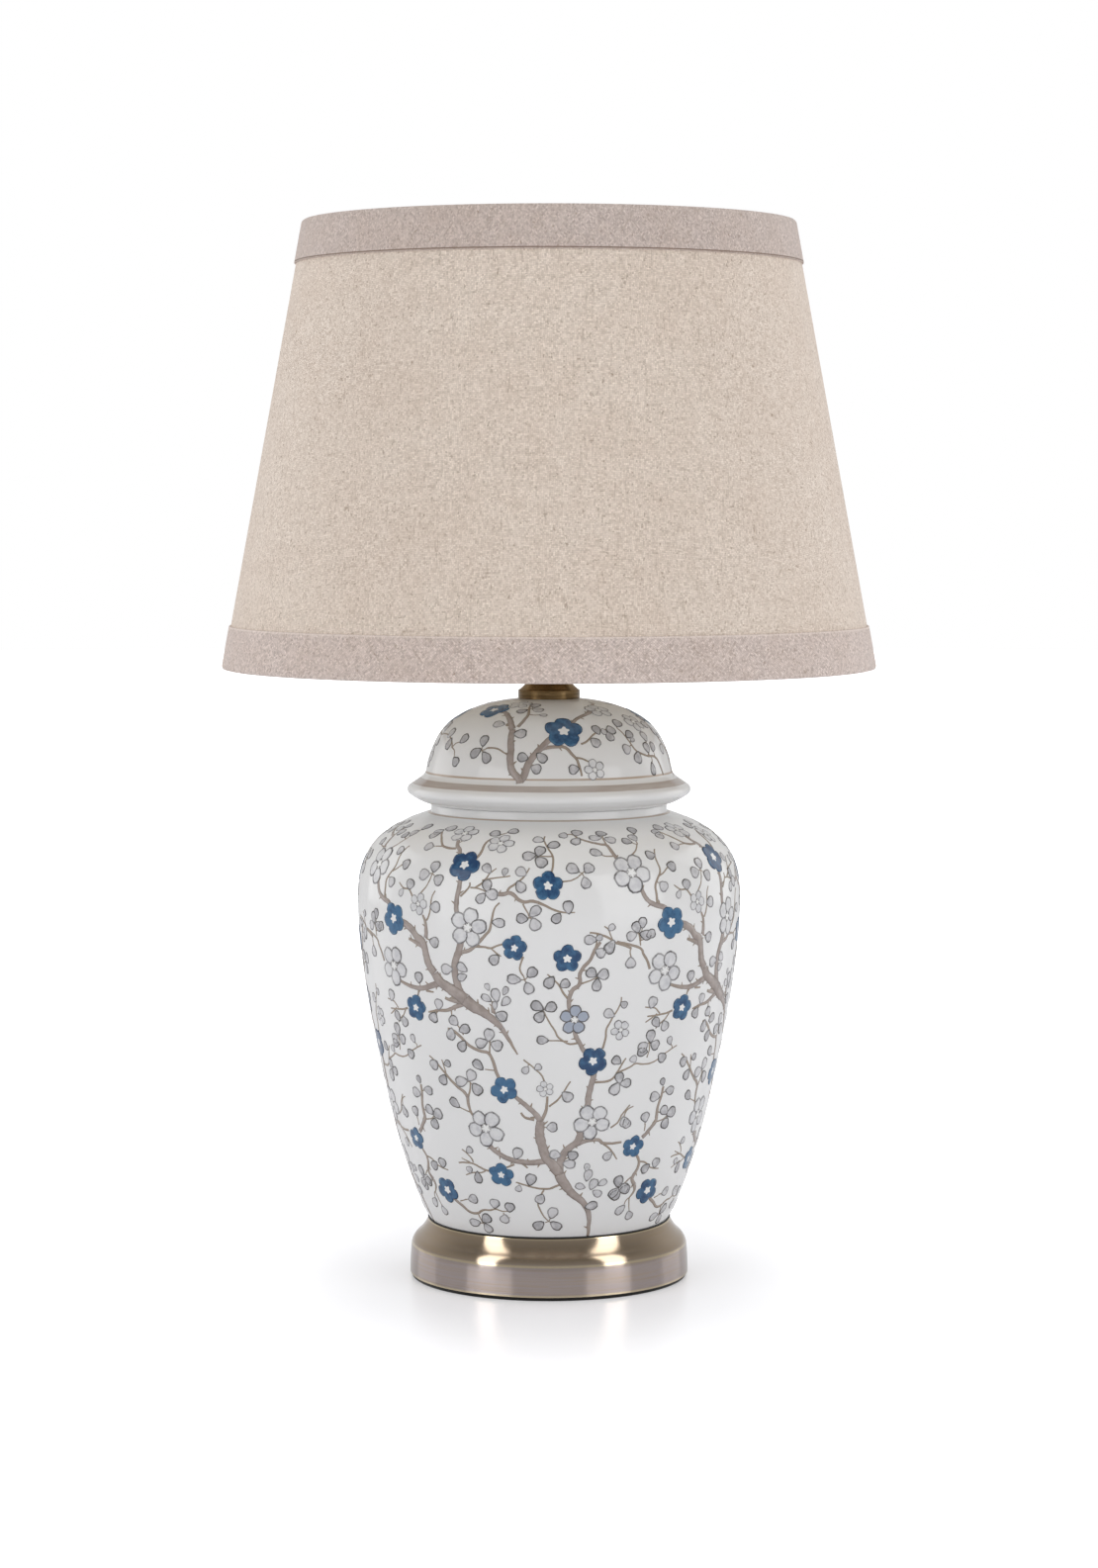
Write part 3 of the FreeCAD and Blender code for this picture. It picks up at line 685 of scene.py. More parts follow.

# %% [markdown]
# ## Felt, rubber and the spun foot
#
# The foot is a sheet of brass spun over a wooden chuck, then brushed on the lathe, which leaves
# fine lines round it. It is lacquered and slightly browned. Its cove is painted browner still, a
# painted reflection of the dim, warm surroundings that it faces, and its three rims get a paler
# gold as painted highlights. A black felt disc under it keeps it from scratching the table. A thin
# rubber ring beds the jar in its lip. A small bead of that ring stands over the lip and fills the
# gap with black, a painted shadow made of rubber.

# %% Felt and rubber
FIBRE = (2600.0, 3.0, 0.7)
FELT = mottled("felt_black", ink(18, 17, 17), ink(46, 44, 43), FIBRE, FIBRE, (0.0004, 0.8),
    Roughness=0.95, Specular_IOR_Level=0.15, Sheen_Weight=0.35, Sheen_Roughness=0.5)
RUBBER = mottled("black_rubber", ink(20, 20, 20), ink(38, 37, 36), (1500.0, 2.0), (1500.0, 2.0),
    (0.0002, 0.5), Roughness=0.6)
felt_outline = draw(
    (0.0, 0.0), (80.3, 0.0), ((80.75, 0.2), (80.9, 0.7)), (80.9, 1.6), ((80.8, 1.9), (80.5, 2.0)),
    (0.0, 2.0), closed=False)
turned("felt_pad", felt_outline, FELT, "lamp_body", "felt", ("base_pad",))
# The bead over the lip fills the gap with black rubber in place of the shadow in that gap: a
# painted shadow.
gasket_outline = draw((58.0, 30.1), (58.2, 30.0), (69.2, 30.0), (69.55, 30.4), (69.55, 33.5),
    (70.0, 34.25), (71.1, 34.3), ((71.45, 34.62), (71.1, 34.95)), (70.4, 34.95),
    ((69.5, 34.4), (69.1, 33.6)), (69.1, 31.2), (68.9, 31.0), (58.2, 31.0), (58.0, 30.9))
turned("bedding_ring", gasket_outline, RUBBER, "lamp_body", "rubber", ("foot_gasket",))

# %% Brushed brass of the foot
# Heights of the foot's bottom edge, ridge and lip, which get painted highlights in a paler gold.
RIM_HIGHLIGHT_HEIGHTS = ((0.0015, 0.0032), (0.0190, 0.0203), (0.0333, 0.0345))    # heights, in metres
RIM_HIGHLIGHT_GOLD = ink(222, 206, 172)
BRUSH_DEPTH = 0.00001       # deeper lines would blur the lamps' reflections


def brushed_brass(name, light, dark, low, high, roughness=0.16, anisotropic=1.0):
    """Brushed on a lathe: fine lines, painted light between two heights, painted highlights on
    rims.
    """
    finish, tree, shader = new_material(name, Metallic=1.0, Roughness=roughness,
        Anisotropic=anisotropic, Anisotropic_Rotation=0.25)
    point = object_point(tree)
    height = parts(point)[2]
    turn, run = unrolled(tree)
    line = noise(vector(turn * 3.0, run * 9000.0), 1.0, 4.0, 0.65)
    streak = noise(vector(turn * 5.0, run * 800.0), 1.0, 3.0, 0.6)
    colour = blend(noise(point, 30.0, 3.0), light, darker(0.9, light))
    # Brush lines and streaks take the second colour. So does the band between low and high, which
    # is painted light: a browner painted reflection in the foot's cove, a lighter neck on the cap.
    for amount in (remap(line, 0.35, 0.75) * 0.35, remap(streak, 0.40, 0.70) * 0.6,
            band(height, low, high, 0.002) * 0.75):
        colour = blend(amount, colour, dark)
    # Painted highlights on the rims.
    for rim in RIM_HIGHLIGHT_HEIGHTS:
        colour = blend(band(height, *rim, 0.0004) * 0.7, colour, RIM_HIGHLIGHT_GOLD)
    surface(shader, colour, line, BRUSH_DEPTH, 0.6)
    return finish


# The foot's second colour is browner and fills the cove from 20.5 to 34.5 mm: a painted reflection.
FOOT_BRASS = brushed_brass("foot_brass", ink(180, 170, 170), ink(176, 156, 129), 0.0205, 0.0345)
# On the cap the second colour is lighter and covers the shoulder and neck: painted light against
# the dark that they mirror under the shade.
CAP_BRASS = brushed_brass("cap_brass", ink(98, 78, 50), ink(172, 145, 106), 0.3455, 0.3560,
    roughness=0.26, anisotropic=0.9)
print("mixed", FOOT_BRASS.name, "and", CAP_BRASS.name)

# %% Foot
def pierced(name, outline, finish, segments, hole, slot, node):
    """A turned piece with a round hole through its wall. hole: (radius, start, end, sides)."""
    radius, start, end, sides = hole
    start, end = (Vector([part * MM for part in place]) for place in (start, end))
    shape = bmesh.new()
    bmesh.ops.create_cone(shape, cap_ends=True, segments=sides, radius1=radius * MM,
        radius2=radius * MM, depth=(end - start).length)
    place = (end - start).to_track_quat("Z", "Y").to_matrix().to_4x4()
    place.translation = (start + end) / 2
    bmesh.ops.transform(shape, matrix=place, verts=shape.verts)
    rod = bpy.data.meshes.new("rod")
    shape.to_mesh(rod)
    shape.free()
    body = new_object("body", turned_mesh(name + "_blank", outline, finish, segments=segments))
    tool = new_object("tool", rod)
    cut = body.modifiers.new("cut", "BOOLEAN")
    cut.object = tool
    cut.solver = "EXACT"
    done = body.evaluated_get(bpy.context.evaluated_depsgraph_get())
    mesh = bpy.data.meshes.new_from_object(done)
    body.modifiers.clear()
    for item in (body, tool):
        bpy.data.objects.remove(item)
    settle(new_object(name, mesh), "lamp_body", slot, node)
    print(name, len(mesh.polygons), "faces")


foot_outline = draw((81.5, 2.0), ((81.8, 2.1), (81.9, 2.5)), ((81.75, 10.4), (81.1, 18.9)),
    ((80.0, 22.0), (77.0, 25.4)), ((73.3, 29.8), (71.4, 33.4)), ((70.55, 34.2), (69.7, 33.4)),
    (69.7, 30.4), (69.3, 30.0), (5.2, 30.0), (5.2, 28.8), (68.2, 28.8), (68.9, 29.2),
    ((71.8, 28.0), (75.6, 24.2)), ((78.6, 21.3), (79.9, 18.4)), (80.7, 3.2), (74.9, 3.2),
    (74.9, 2.0))
CORD_HOLE = (5.0, (0, 74, 11), (0, 90, 11), 48)
pierced("spun_foot", foot_outline, FOOT_BRASS, 192, CORD_HOLE, "foot_metal", "base_shell")

# %% [markdown]
# ## Vase cap and lampholder
#
# The vase cap is turned from bar: a plain drum, a soft shoulder and a short neck. Above it, hidden
# by the shade, sits a standard screw lampholder. Its skirt carries a coarse round thread for
# the shade ring, and the shell inside it carries the lamp thread. The lathe tree makes threads by
# moving each point in or out by a wave that climbs one pitch in one turn. The switch's spindle
# leaves the cup through a hole in its side.

# %% Vase cap and lampholder
cap_outline = draw((5.2, 340.2), (17.65, 340.2), (18.05, 340.6), (18.05, 344.5),
    ((17.95, 345.0), (17.6, 345.4)), (17.0, 345.7), ((14.9, 347.6), (12.4, 349.8)),
    ((11.8, 351.0), (11.6, 352.5)), (11.6, 355.6), (11.3, 356.0), (8.6, 356.0), (8.6, 351.5),
    (5.2, 351.5))
turned("vase_cap_turned", cap_outline, CAP_BRASS, "lamp_body", "cap_metal", ("vase_cap",),
    segments=128)

skirt_outline = [
    (18.5, 384.0), (22.5, 384.0), (22.5, 385.0), *divided([(19.5, 385.0), (19.5, 416.7)], 0.375),
    (19.2, 417.0), (18.5, 417.0), (18.5, 384.0)]
turned("lampholder_skirt", skirt_outline, CAP_BRASS, "lamp_body", "cap_metal",
    ("lampholder_shell",), segments=96, thread=(3.0, 0.35, 387.0, 416.0))

cup_outline = draw((4.95, 356.0), (13.0, 356.0), ((20.0, 359.6), (22.5, 367.0)), (22.5, 383.6),
    (22.1, 384.0), (21.5, 384.0), (21.5, 367.4), ((19.0, 360.6), (12.9, 357.0)), (8.0, 357.0),
    (8.0, 362.6), (7.6, 363.0), (4.95, 363.0))
SPINDLE_HOLE = (2.8, (18, 0, 372), (26, 0, 372), 32)
pierced("lampholder_cup", cup_outline, CAP_BRASS, 96, SPINDLE_HOLE, "cap_metal", "lampholder_cap")

# %% [markdown]
# ## Metal, ceramic and plastic of the small hardware
#
# Nuts, washers, the tube, the switch and the shade ring already have their right shapes in the
# construction model, so those pieces stay, and only their materials are made here. Zinc plating
# is cloudy and slightly blue, moulded resin is dark with a fine flow grain, unglazed steatite is
# matt, and bright brass keeps faint drawing marks.

# %% Hardware materials
def plain_metal(name, light, dark, roughness, grain=300.0):
    return mottled(name, light, dark, (grain, 3.0), (grain * 4, 2.0), (0.00005, 0.5), Metallic=1.0,
        Roughness=roughness)


def moulding(name, light, dark, roughness, grain=700.0):
    return mottled(name, light, dark, (grain / 6, 3.0), (grain, 2.0), (0.0001, 0.4),
        Roughness=roughness)


PLATED_STEEL = plain_metal("plated_steel_zinc", ink(205, 206, 208), ink(168, 172, 180), 0.34)
CONTACT_BRASS = plain_metal("contact_brass_bright", ink(226, 196, 128), ink(200, 164, 96), 0.25)
CAP_ALUMINIUM = plain_metal("cap_aluminium_rolled", ink(214, 215, 217), ink(186, 188, 191), 0.3)
SOLDER = plain_metal("solder_grey", ink(184, 184, 180), ink(140, 141, 140), 0.42, 900.0)
DARK_MOULDING = moulding("dark_resin", ink(52, 47, 43), ink(34, 31, 29), 0.38)
KNOB_PLASTIC = moulding("knob_resin", ink(38, 38, 39), ink(24, 24, 25), 0.28)
STEATITE = moulding("steatite_white", ink(236, 233, 226), ink(222, 218, 210), 0.62)
BLACK_GLASS = moulding("cap_black_glass", ink(30, 30, 34), ink(16, 16, 19), 0.12)
POWDER_COAT = moulding("powder_coat_white", ink(238, 236, 230), ink(226, 223, 216), 0.42, 1600.0)

PLATED = ("clamp_washer", "lock_washer", "bottom_nut", "threaded_rod", "top_nut", "switch_shaft")
for finish, names in (
        (PLATED_STEEL, PLATED), (CONTACT_BRASS, ("centre_contact",)),
        (DARK_MOULDING, ("switch_block", "shade_ring")), (KNOB_PLASTIC, ("switch_knob",)),
        (STEATITE, ("lampholder_insulator",)), (BLACK_GLASS, ("bulb_insulator",)),
        (SOLDER, ("bulb_contact",)), (POWDER_COAT, ("ring_washer", "shade_spokes")),
        (RUBBER, ("cord_bush",))):
    for name in names:
        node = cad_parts[name]
        for material_slot in node.material_slots:
            material_slot.material = finish
        if not node.material_slots:
            node.data.materials.append(finish)
    print(finish.name, "on", ", ".join(names))

# %% Screw shell inside the lampholder
LAMP_PITCH, LAMP_STEP = 3.62, 0.45      # the lamp thread, and how finely its runs are divided
shell_outline = [
    (10.7, 390.8), *divided([(13.8, 390.8), (13.8, 415.0)], LAMP_STEP),
    *divided([(13.3, 415.0), (13.3, 391.3)], LAMP_STEP), (10.7, 391.3), (10.7, 390.8)]
turned("lamp_thread_shell", shell_outline, CONTACT_BRASS, "lamp_body", "contact_brass",
    ("screw_shell",), segments=72, thread=(LAMP_PITCH, 0.25, 393.0, 414.0))

# %% [markdown]
# ## The bulb
#
# An opal bulb is a thin glass pear, etched white inside so that the filament never shows. Its
# screw cap is rolled aluminium, thin enough that the thread shows inside and out.

# %% Bulb
OPAL = mottled("opal_glass_white", ink(250, 249, 245), ink(242, 240, 234), (45.0, 3.0), (30.0, 1.0),
    (0.0004, 0.3), Roughness=0.12, IOR=1.5, Subsurface_Weight=0.6, Subsurface_Scale=0.004,
    Subsurface_Radius=(1.0, 0.95, 0.85))
CONTACT_Z, BULB_R, BULB_L = 395.0, 30.0, 107.0
BALL_Z, NECK_Z, TOP_Z = CONTACT_Z + BULB_L - BULB_R, CONTACT_Z + 27.0, CONTACT_Z + BULB_L
join = (BULB_R * math.cos(math.radians(12)), BALL_Z - BULB_R * math.sin(math.radians(12)))
glass_outline = draw((0.0, NECK_Z - 8.0), (12.4, NECK_Z - 8.0), (12.4, NECK_Z),
    [(16.3, NECK_Z + 14.0), (23.4, NECK_Z + 28.0), join], ((BULB_R, BALL_Z), (0.0, TOP_Z)),
    (0.0, TOP_Z - 0.9), closed=False)
inner_glass = draw((0.0, TOP_Z - 0.9), ((29.1, BALL_Z), (join[0] - 1.0, join[1])),
    (22.4, NECK_Z + 28.0), (15.3, NECK_Z + 14.0), (11.5, NECK_Z), (11.5, NECK_Z - 7.1),
    (0.0, NECK_Z - 7.1), closed=False)
turned("opal_bulb", glass_outline + inner_glass[1:], OPAL, "bulb", "opal_glass", ("bulb_glass",),
    segments=96)
bulb_cap_outline = [(10.6, 398.0), (12.0, 398.0), *divided([(13.0, 399.5), (13.0, 420.0)],
    LAMP_STEP), (13.6, 422.0), (13.2, 422.0), *divided([(12.5, 419.8), (12.5, 399.7)], LAMP_STEP),
    (11.7, 398.5), (10.6, 398.5), (10.6, 398.0)]
turned("bulb_screw_cap", bulb_cap_outline, CAP_ALUMINIUM, "bulb", "cap_aluminium", ("bulb_cap",),
    segments=96, thread=(LAMP_PITCH, 0.32, 400.5, 419.5))

# %% [markdown]
# ## The shade
#
# The skin is linen laminated on stiff white film, rolled into a cone and lapped down the back. A
# cone unrolls into a fan, and cloth is laid straight on that fan. So the threads stand upright at
# the front and lean more and more towards the seam. The material rebuilds that fan from the
# unrolled map, so the weave sits on the cone as it does on the real one. Linen yarn is uneven, so
# each crossing of two threads gets a tone of its own, and rare slubs, short dark flecks and slow
# clouds lie over that. The gaps between threads are darkened as painted shade. The lap shows as a
# low ridge with a dark painted shadow line at its edge. Inside is a warm light lining.
# A tape cut on the bias covers each edge, which turns its weave by 45 degrees. The top tape is
# painted darker than the bottom one, as painted shade, and a line along each tape's free edge is
# a painted shadow on the top tape and a painted highlight on the bottom one. Under the tape a
# round wire holds each edge open.

# %% Shade measures
SHADE_BOTTOM_R, SHADE_TOP_R, SHADE_BOTTOM_Z, SHADE_TOP_Z = 189.8, 141.9, 358.3, 616.4
SKIN_T, TRIM_T, TRIM_W, TURN_T, WIRE_R = 0.8, 1.1, 25.0, 0.7, 1.5
SLOPE = math.atan2(SHADE_BOTTOM_R - SHADE_TOP_R, SHADE_TOP_Z - SHADE_BOTTOM_Z)
SKIN_L = math.hypot(SHADE_BOTTOM_R - SHADE_TOP_R, SHADE_TOP_Z - SHADE_BOTTOM_Z)
APEX = SHADE_BOTTOM_R / math.sin(SLOPE)


def on_skin(up, out, from_top=False):
    """A point so far along the slope from an edge, and so far out from the skin's face."""
    along = SKIN_L - up if from_top else up
    return (SHADE_BOTTOM_R - along * math.sin(SLOPE) + out * math.cos(SLOPE),
            SHADE_BOTTOM_Z + along * math.cos(SLOPE) + out * math.sin(SLOPE))


print("the skin is", round(SKIN_L, 1), "mm wide on the slope, its cone's apex", round(APEX, 1),
    "mm from the edge")

# %% Linen
WEAVE_PITCH, WEAVE_RELIEF = 0.00105, 0.00022    # metres
LINING = ink(224, 216, 202)


def fan_point(tree, start_run=0.0, angle=0.0):
    """Where a point of the cone lies on the flat cloth, in metres. angle turns a bias cut."""
    turn, run = unrolled(tree)
    around = turn - maths("GREATER_THAN", turn, 0.5)
    theta = around * (2 * math.pi * math.sin(SLOPE)) + angle
    reach = APEX * MM + start_run - run
    across = reach * maths("SINE", theta)
    along = reach * maths("COSINE", theta)
    return across, along, run


def plain_weave(across, along, pitch):
    """One over, one under. Gives the tone of the thread on top, and the height of the cloth."""
    flat = vector(across, along)
    cells, inner, threads = [], [], []
    for place, seed in ((across, 3.0), (along, 11.0)):
        moved = vector_maths("ADD", flat, (seed, 0.0, 0.0))
        wobble = (noise(moved, 110.0, 2.0) - 0.5) * 3.0
        count = place * (1 / pitch) + wobble
        cells.append(maths("FLOOR", count))
        off = maths("ABSOLUTE", maths("FRACT", count) - 0.5)
        inner.append(1.0 - (off * 2.0) ** 2.0)
        threads.append(count)
    over = maths("FLOORED_MODULO", cells[0] + cells[1], 2.0)
    tones = []
    for own, other, seed in ((0, 1, 5.0), (1, 0, 17.0)):
        spot = vector(cells[own] * 3.7, threads[other] * 0.3, seed)
        tones.append(noise(spot, 1.0, 2.0, 0.7))
    crossing = vector(cells[0], cells[1])
    speck = add_node(flat.id_data, "ShaderNodeTexWhiteNoise", {"Vector": crossing},
        noise_dimensions="2D").outputs["Value"]
    thread = mix(over, tones[1], tones[0])
    tone = remap(thread, 0.3, 0.7, 0.15, 0.55) + speck * 0.4
    highs = [inner[k] * (0.6 + inner[1 - k] * 0.4) for k in (0, 1)]
    height = mix(over, highs[1], highs[0])
    return tone, height


def slubs(first, second, width, length, low, high, offset):
    """Rare thick or dark places in a thread: long thin blobs."""
    place = vector(first * (1 / width), second * (1 / length), offset)
    return remap(noise(place, 1.0, 2.0, 0.55), low, high)


def linen(name, light, dark, angle=0.0, start_run=0.0, lining_from=None, painted_hem_lights=()):
    finish, tree, shader = new_material(name, Roughness=0.85, Specular_IOR_Level=0.18,
        Sheen_Weight=0.18, Sheen_Roughness=0.45)
    across, along, run = fan_point(tree, start_run, angle)
    tone, weave = plain_weave(across, along, WEAVE_PITCH)
    colour = blend(tone, dark, light)
    # Darker in the gaps between threads: painted shade.
    gap = remap(weave, 0.45, 0.0)
    colour = blend(gap * 0.4, colour, darker(0.5, dark))
    cloud = vector(across, along)
    for scale, amount in ((14.0, 0.10), (60.0, 0.08)):
        colour = blend(remap(noise(cloud, scale, 3.0), 0.35, 0.7, 0.0, amount), colour,
            ink(198, 172, 152))
    blobs = (
        (across, along, 0.0016, 0.016, 0.64, 0.22, 1.5),
        (along, across, 0.0016, 0.018, 0.65, 0.20, 7.5),
        (across, along, 0.0017, 0.004, 0.665, 0.5, 13.5),
        (along, across, 0.0017, 0.0036, 0.67, 0.5, 21.5))
    for first, second, width, length, low, amount, seed in blobs:
        blob = slubs(first, second, width, length, low, low + 0.06, seed)
        colour = blend(blob * amount, colour, ink(140, 118, 96))
    turn = unrolled(tree)[0]
    # A dark line down the lap's edge at the back: a painted shadow line.
    edge = band(turn, 0.4995, 0.5004, 0.0002)
    colour = blend(edge * 0.6, colour, ink(120, 102, 86))
    relief = weave + band(turn, 0.5, 0.514, 0.0006) * 2.0
    if lining_from is not None:
        inside = maths("GREATER_THAN", run, lining_from)
        colour = blend(inside, colour, LINING)
        relief = relief * (1.0 - inside * 0.85)
    # Lines along a tape's free edge: a painted shadow line on the top tape, a painted highlight on
    # the bottom one.
    for first, last, tint, strength in painted_hem_lights:
        colour = blend(band(run, first, last, 0.00025) * strength, colour, tint)
    surface(shader, colour, relief, WEAVE_RELIEF, 0.6)
    return finish


SKIN_RUN = (SKIN_L - 2 * TURN_T) * MM
SKIN_LINEN = linen("shade_linen", ink(250, 237, 224), ink(188, 171, 156), start_run=-TURN_T * MM,
    lining_from=SKIN_RUN + 0.0004)
skin_outline = draw(on_skin(TURN_T, 0), on_skin(SKIN_L - TURN_T, 0),
    on_skin(SKIN_L - TURN_T, -SKIN_T), on_skin(TURN_T, -SKIN_T))
turned("linen_skin", divided(skin_outline, 20.0), SKIN_LINEN, "shade", "linen", ("shade_skin",),
    segments=256)

# %% Edge tapes and wires


def wire_section(from_top, sides=12):
    up, out = TURN_T + WIRE_R, -SKIN_T - WIRE_R
    return [on_skin(up + WIRE_R * math.sin(a), out + WIRE_R * math.cos(a), from_top)
            for a in (2 * math.pi * k / sides for k in range(sides + 1))]


def tape_section(from_top):
    """The tape covers the outer face, wraps the edge and the wire, and ends flat on the lining."""
    def p(up, out):
        return on_skin(up, out, from_top)

    wire_far = TURN_T + 2 * WIRE_R
    bead = -SKIN_T - 2 * WIRE_R - TURN_T
    middle = (TURN_T + WIRE_R, -SKIN_T - WIRE_R)
    hug = [p(middle[0] + WIRE_R * math.sin(a), middle[1] + WIRE_R * math.cos(a))
           for a in (math.pi + k * math.pi / 12 for k in range(0, -7, -1))]
    return [p(TRIM_W - 0.3, TRIM_T), p(1.8, TRIM_T), p(1.0, TRIM_T - 0.15), p(0.35, TRIM_T - 0.6),
        p(0.05, 0.2), p(0.0, -0.4), p(0.0, -2.2), p(0.15, -3.2), p(0.7, bead + 0.35), p(1.5, bead),
        p(wire_far - 0.8, bead), p(wire_far + 0.1, bead + 0.6), p(wire_far + 0.8, bead + 1.6),
        p(wire_far + 2.5, -SKIN_T - TURN_T), p(11.6, -SKIN_T - TURN_T), p(12.0, -SKIN_T - 0.4),
        p(12.0, -SKIN_T), p(wire_far + 1.4, -SKIN_T), *reversed(hug), p(middle[0] - WIRE_R,
        -SKIN_T - WIRE_R), p(TURN_T, -SKIN_T - 0.4), p(TURN_T, 0.0), p(TRIM_W - 0.1, 0.0),
        p(TRIM_W, 0.15), p(TRIM_W, TRIM_T - 0.3), p(TRIM_W - 0.3, TRIM_T)]


TAPE_EDGE = (-0.0002, 0.0008)   # the free edge, where the outline starts
TAPE_LIGHT, TAPE_DARK = ink(246, 231, 223), ink(164, 148, 140)
# Each tape's colours are scaled by a level, darker on the top tape: painted shade. The hem colour
# is a painted shadow line at the top and a painted highlight at the bottom.
for end_name, from_top, level, painted_hem_tint, strength in (("top", True, 0.88, ink(120, 100, 84), 0.85),
        ("bottom", False, 0.97, ink(236, 222, 212), 0.5)):
    light, dark = (darker(level, colour) for colour in (TAPE_LIGHT, TAPE_DARK))
    tape_linen = linen(end_name + "_tape_linen", light, dark, angle=math.radians(45),
        painted_hem_lights=[(*TAPE_EDGE, painted_hem_tint, strength)])
    turned(end_name + "_tape", tape_section(from_top), tape_linen, "shade", "linen_trim",
           ("shade_" + end_name + "_trim",), segments=256)
    turned(end_name + "_rim_wire", wire_section(from_top), POWDER_COAT, "shade", "white_wire",
           ("shade_" + end_name + "_wire",), segments=192)

# %% Carrier
carrier_outline = draw((21.0, 385.0), (27.1, 385.0), ((27.4, 385.1), (27.5, 385.4)), (27.5, 386.6),
    (27.1, 387.0), (21.0, 387.0))
turned("carrier_ring", carrier_outline, POWDER_COAT, "shade", "white_wire", ("shade_carrier",),
    segments=96)

# %% [markdown]
# ## The painted plum branches
#
# The jar carries a traditional pattern: plum branches with thorns, five-petalled blossoms in
# cobalt and in pale grey, and small round leaves. It could be a texture, but a brush leaves real
# strokes with edges, and geometry keeps them sharp at any distance. So the pattern is drawn flat,
# the way a painter thinks of it: as strokes with a width at each end, and as stamps for leaves and
# blossoms. One geometry tree sweeps the strokes, a second one places the stamps, and both end by
# laying the flat drawing on the turned side.
#
# A place in the drawing is (angle round the jar in degrees, distance up its side in millimetres).
# The drawing covers a quarter of the jar and is repeated four times.

# %% Laying a flat drawing on a turned side


SUNK = 0.00012      # how deep the paint's underside lies in the glaze, in metres


def lay_on_side(tree, flat, given):
    """Makes a closed skin of the flat faces, bends it round the side and repeats it."""
    lift = named(tree, "lift") + SUNK
    down = node_out(tree, "GeometryNodeSetPosition",
        {"Geometry": flat, "Offset": (0.0, 0.0, -SUNK)})
    rise = vector(0.0, 0.0, lift)
    upper = node_out(tree, "GeometryNodeExtrudeMesh", {"Mesh": down, "Offset": rise,
        "Offset Scale": 1.0, "Individual": False}, mode="FACES")
    lower = node_out(tree, "GeometryNodeFlipFaces", {"Mesh": down})
    both = add_node(tree, "GeometryNodeJoinGeometry")
    for part in (upper, lower):
        tree.links.new(part, both.inputs[0])
    closed = node_out(tree, "GeometryNodeMergeByDistance", {"Geometry": both.outputs[0],
        "Distance": 1e-06})
    side = add_node(tree, "GeometryNodeObjectInfo", {"Object": given["Side"]}).outputs["Geometry"]
    side = node_out(tree, "GeometryNodeMeshToCurve", {"Mesh": side})
    here = parts(places(tree))
    sample = add_node(tree, "GeometryNodeSampleCurve", {"Curves": side}, mode="LENGTH",
        use_all_curves=True)
    tree.links.new(here[1], sample.inputs["Length"])
    spot = parts(sample.outputs["Position"])
    slope = parts(sample.outputs["Tangent"])
    radius = spot[0] + slope[2] * here[2]
    height = spot[2] - slope[0] * here[2]
    angle = named(tree, "azimuth") + here[0] / spot[0]
    wrapped = node_out(tree, "GeometryNodeSetPosition",
        {"Geometry": closed, "Position": on_circle(radius, angle, height)})
    smooth = node_out(tree, "GeometryNodeSetShadeSmooth", {"Geometry": wrapped,
        "Shade Smooth": True}, domain="FACE")
    start = node_out(tree, "GeometryNodeMeshLine", {"Count": given["Copies"],
        "Offset": (0.0, 0.0, 0.0)})
    step = 2 * math.pi / given["Copies"]
    index = index_of(tree)
    spin = vector(0.0, 0.0, index * step)
    round_it = node_out(tree, "GeometryNodeInstanceOnPoints", {"Points": start, "Instance": smooth,
        "Rotation": spin})
    end_tree(tree, round_it, given["Material"])


def own_place(tree, seed):
    """A place for noise that differs from stroke to stroke and from seed to seed."""
    return vector_maths("ADD", places(tree), vector(named(tree, "azimuth"), 0.0, seed))


def hand_wander(tree, scale, reach, seed):
    """A small smooth shift of every point in the flat drawing, as a hand would make."""
    cloud = add_node(tree, "ShaderNodeTexNoise", {"Vector": own_place(tree, seed), "Scale": scale,
        "Detail": 2.0})
    centred = vector_maths("SUBTRACT", cloud.outputs["Color"], (0.5, 0.5, 0.5))
    return vector_maths("MULTIPLY", centred, (reach, reach, 0.0))


# %% The stroke tree


def build_stroke_tree():
    tree, given = make_tree("brush_strokes", [
        ("Side", "NodeSocketObject", None), ("Step", "NodeSocketFloat", 0.0015),
        ("Unevenness", "NodeSocketFloat", 0.5), ("Copies", "NodeSocketInt", 4),
        ("Seed", "NodeSocketFloat", 0.0), ("Material", "NodeSocketMaterial", None)])
    curve = node_out(tree, "GeometryNodeMeshToCurve", {"Mesh": given["Geometry"]})
    rounded = node_out(tree, "GeometryNodeCurveSplineType", {"Curve": curve},
        spline_type="CATMULL_ROM")
    fine = node_out(tree, "GeometryNodeResampleCurve", {"Curve": rounded, "Length": given["Step"]},
        mode="LENGTH")
    wander = hand_wander(tree, 160.0, 0.0011, given["Seed"])
    shaky = node_out(tree, "GeometryNodeSetPosition", {"Geometry": fine, "Offset": wander})
    level = node_out(tree, "GeometryNodeSetCurveNormal", {"Curve": shaky}, mode="Z_UP")
    cloud = noise(own_place(tree, given["Seed"]), 420.0, 2.0)
    swell = 1.0 + (cloud - 0.5) * given["Unevenness"]
    half = named(tree, "width") * 0.5 * swell
    brush = node_out(tree, "GeometryNodeCurvePrimitiveLine", {"Start": (-1.0, 0.0, 0.0),
        "End": (1.0, 0.0, 0.0)})
    brush = node_out(tree, "GeometryNodeResampleCurve", {"Curve": brush, "Count": 3}, mode="COUNT")
    across = parts(places(tree))[0]
    brush = store(tree, brush, "rim", maths("ABSOLUTE", across))
    swept = node_out(tree, "GeometryNodeCurveToMesh", {"Curve": level, "Profile Curve": brush,
        "Scale": half})
    lay_on_side(tree, swept, given)
    return tree


# %% The stamp tree


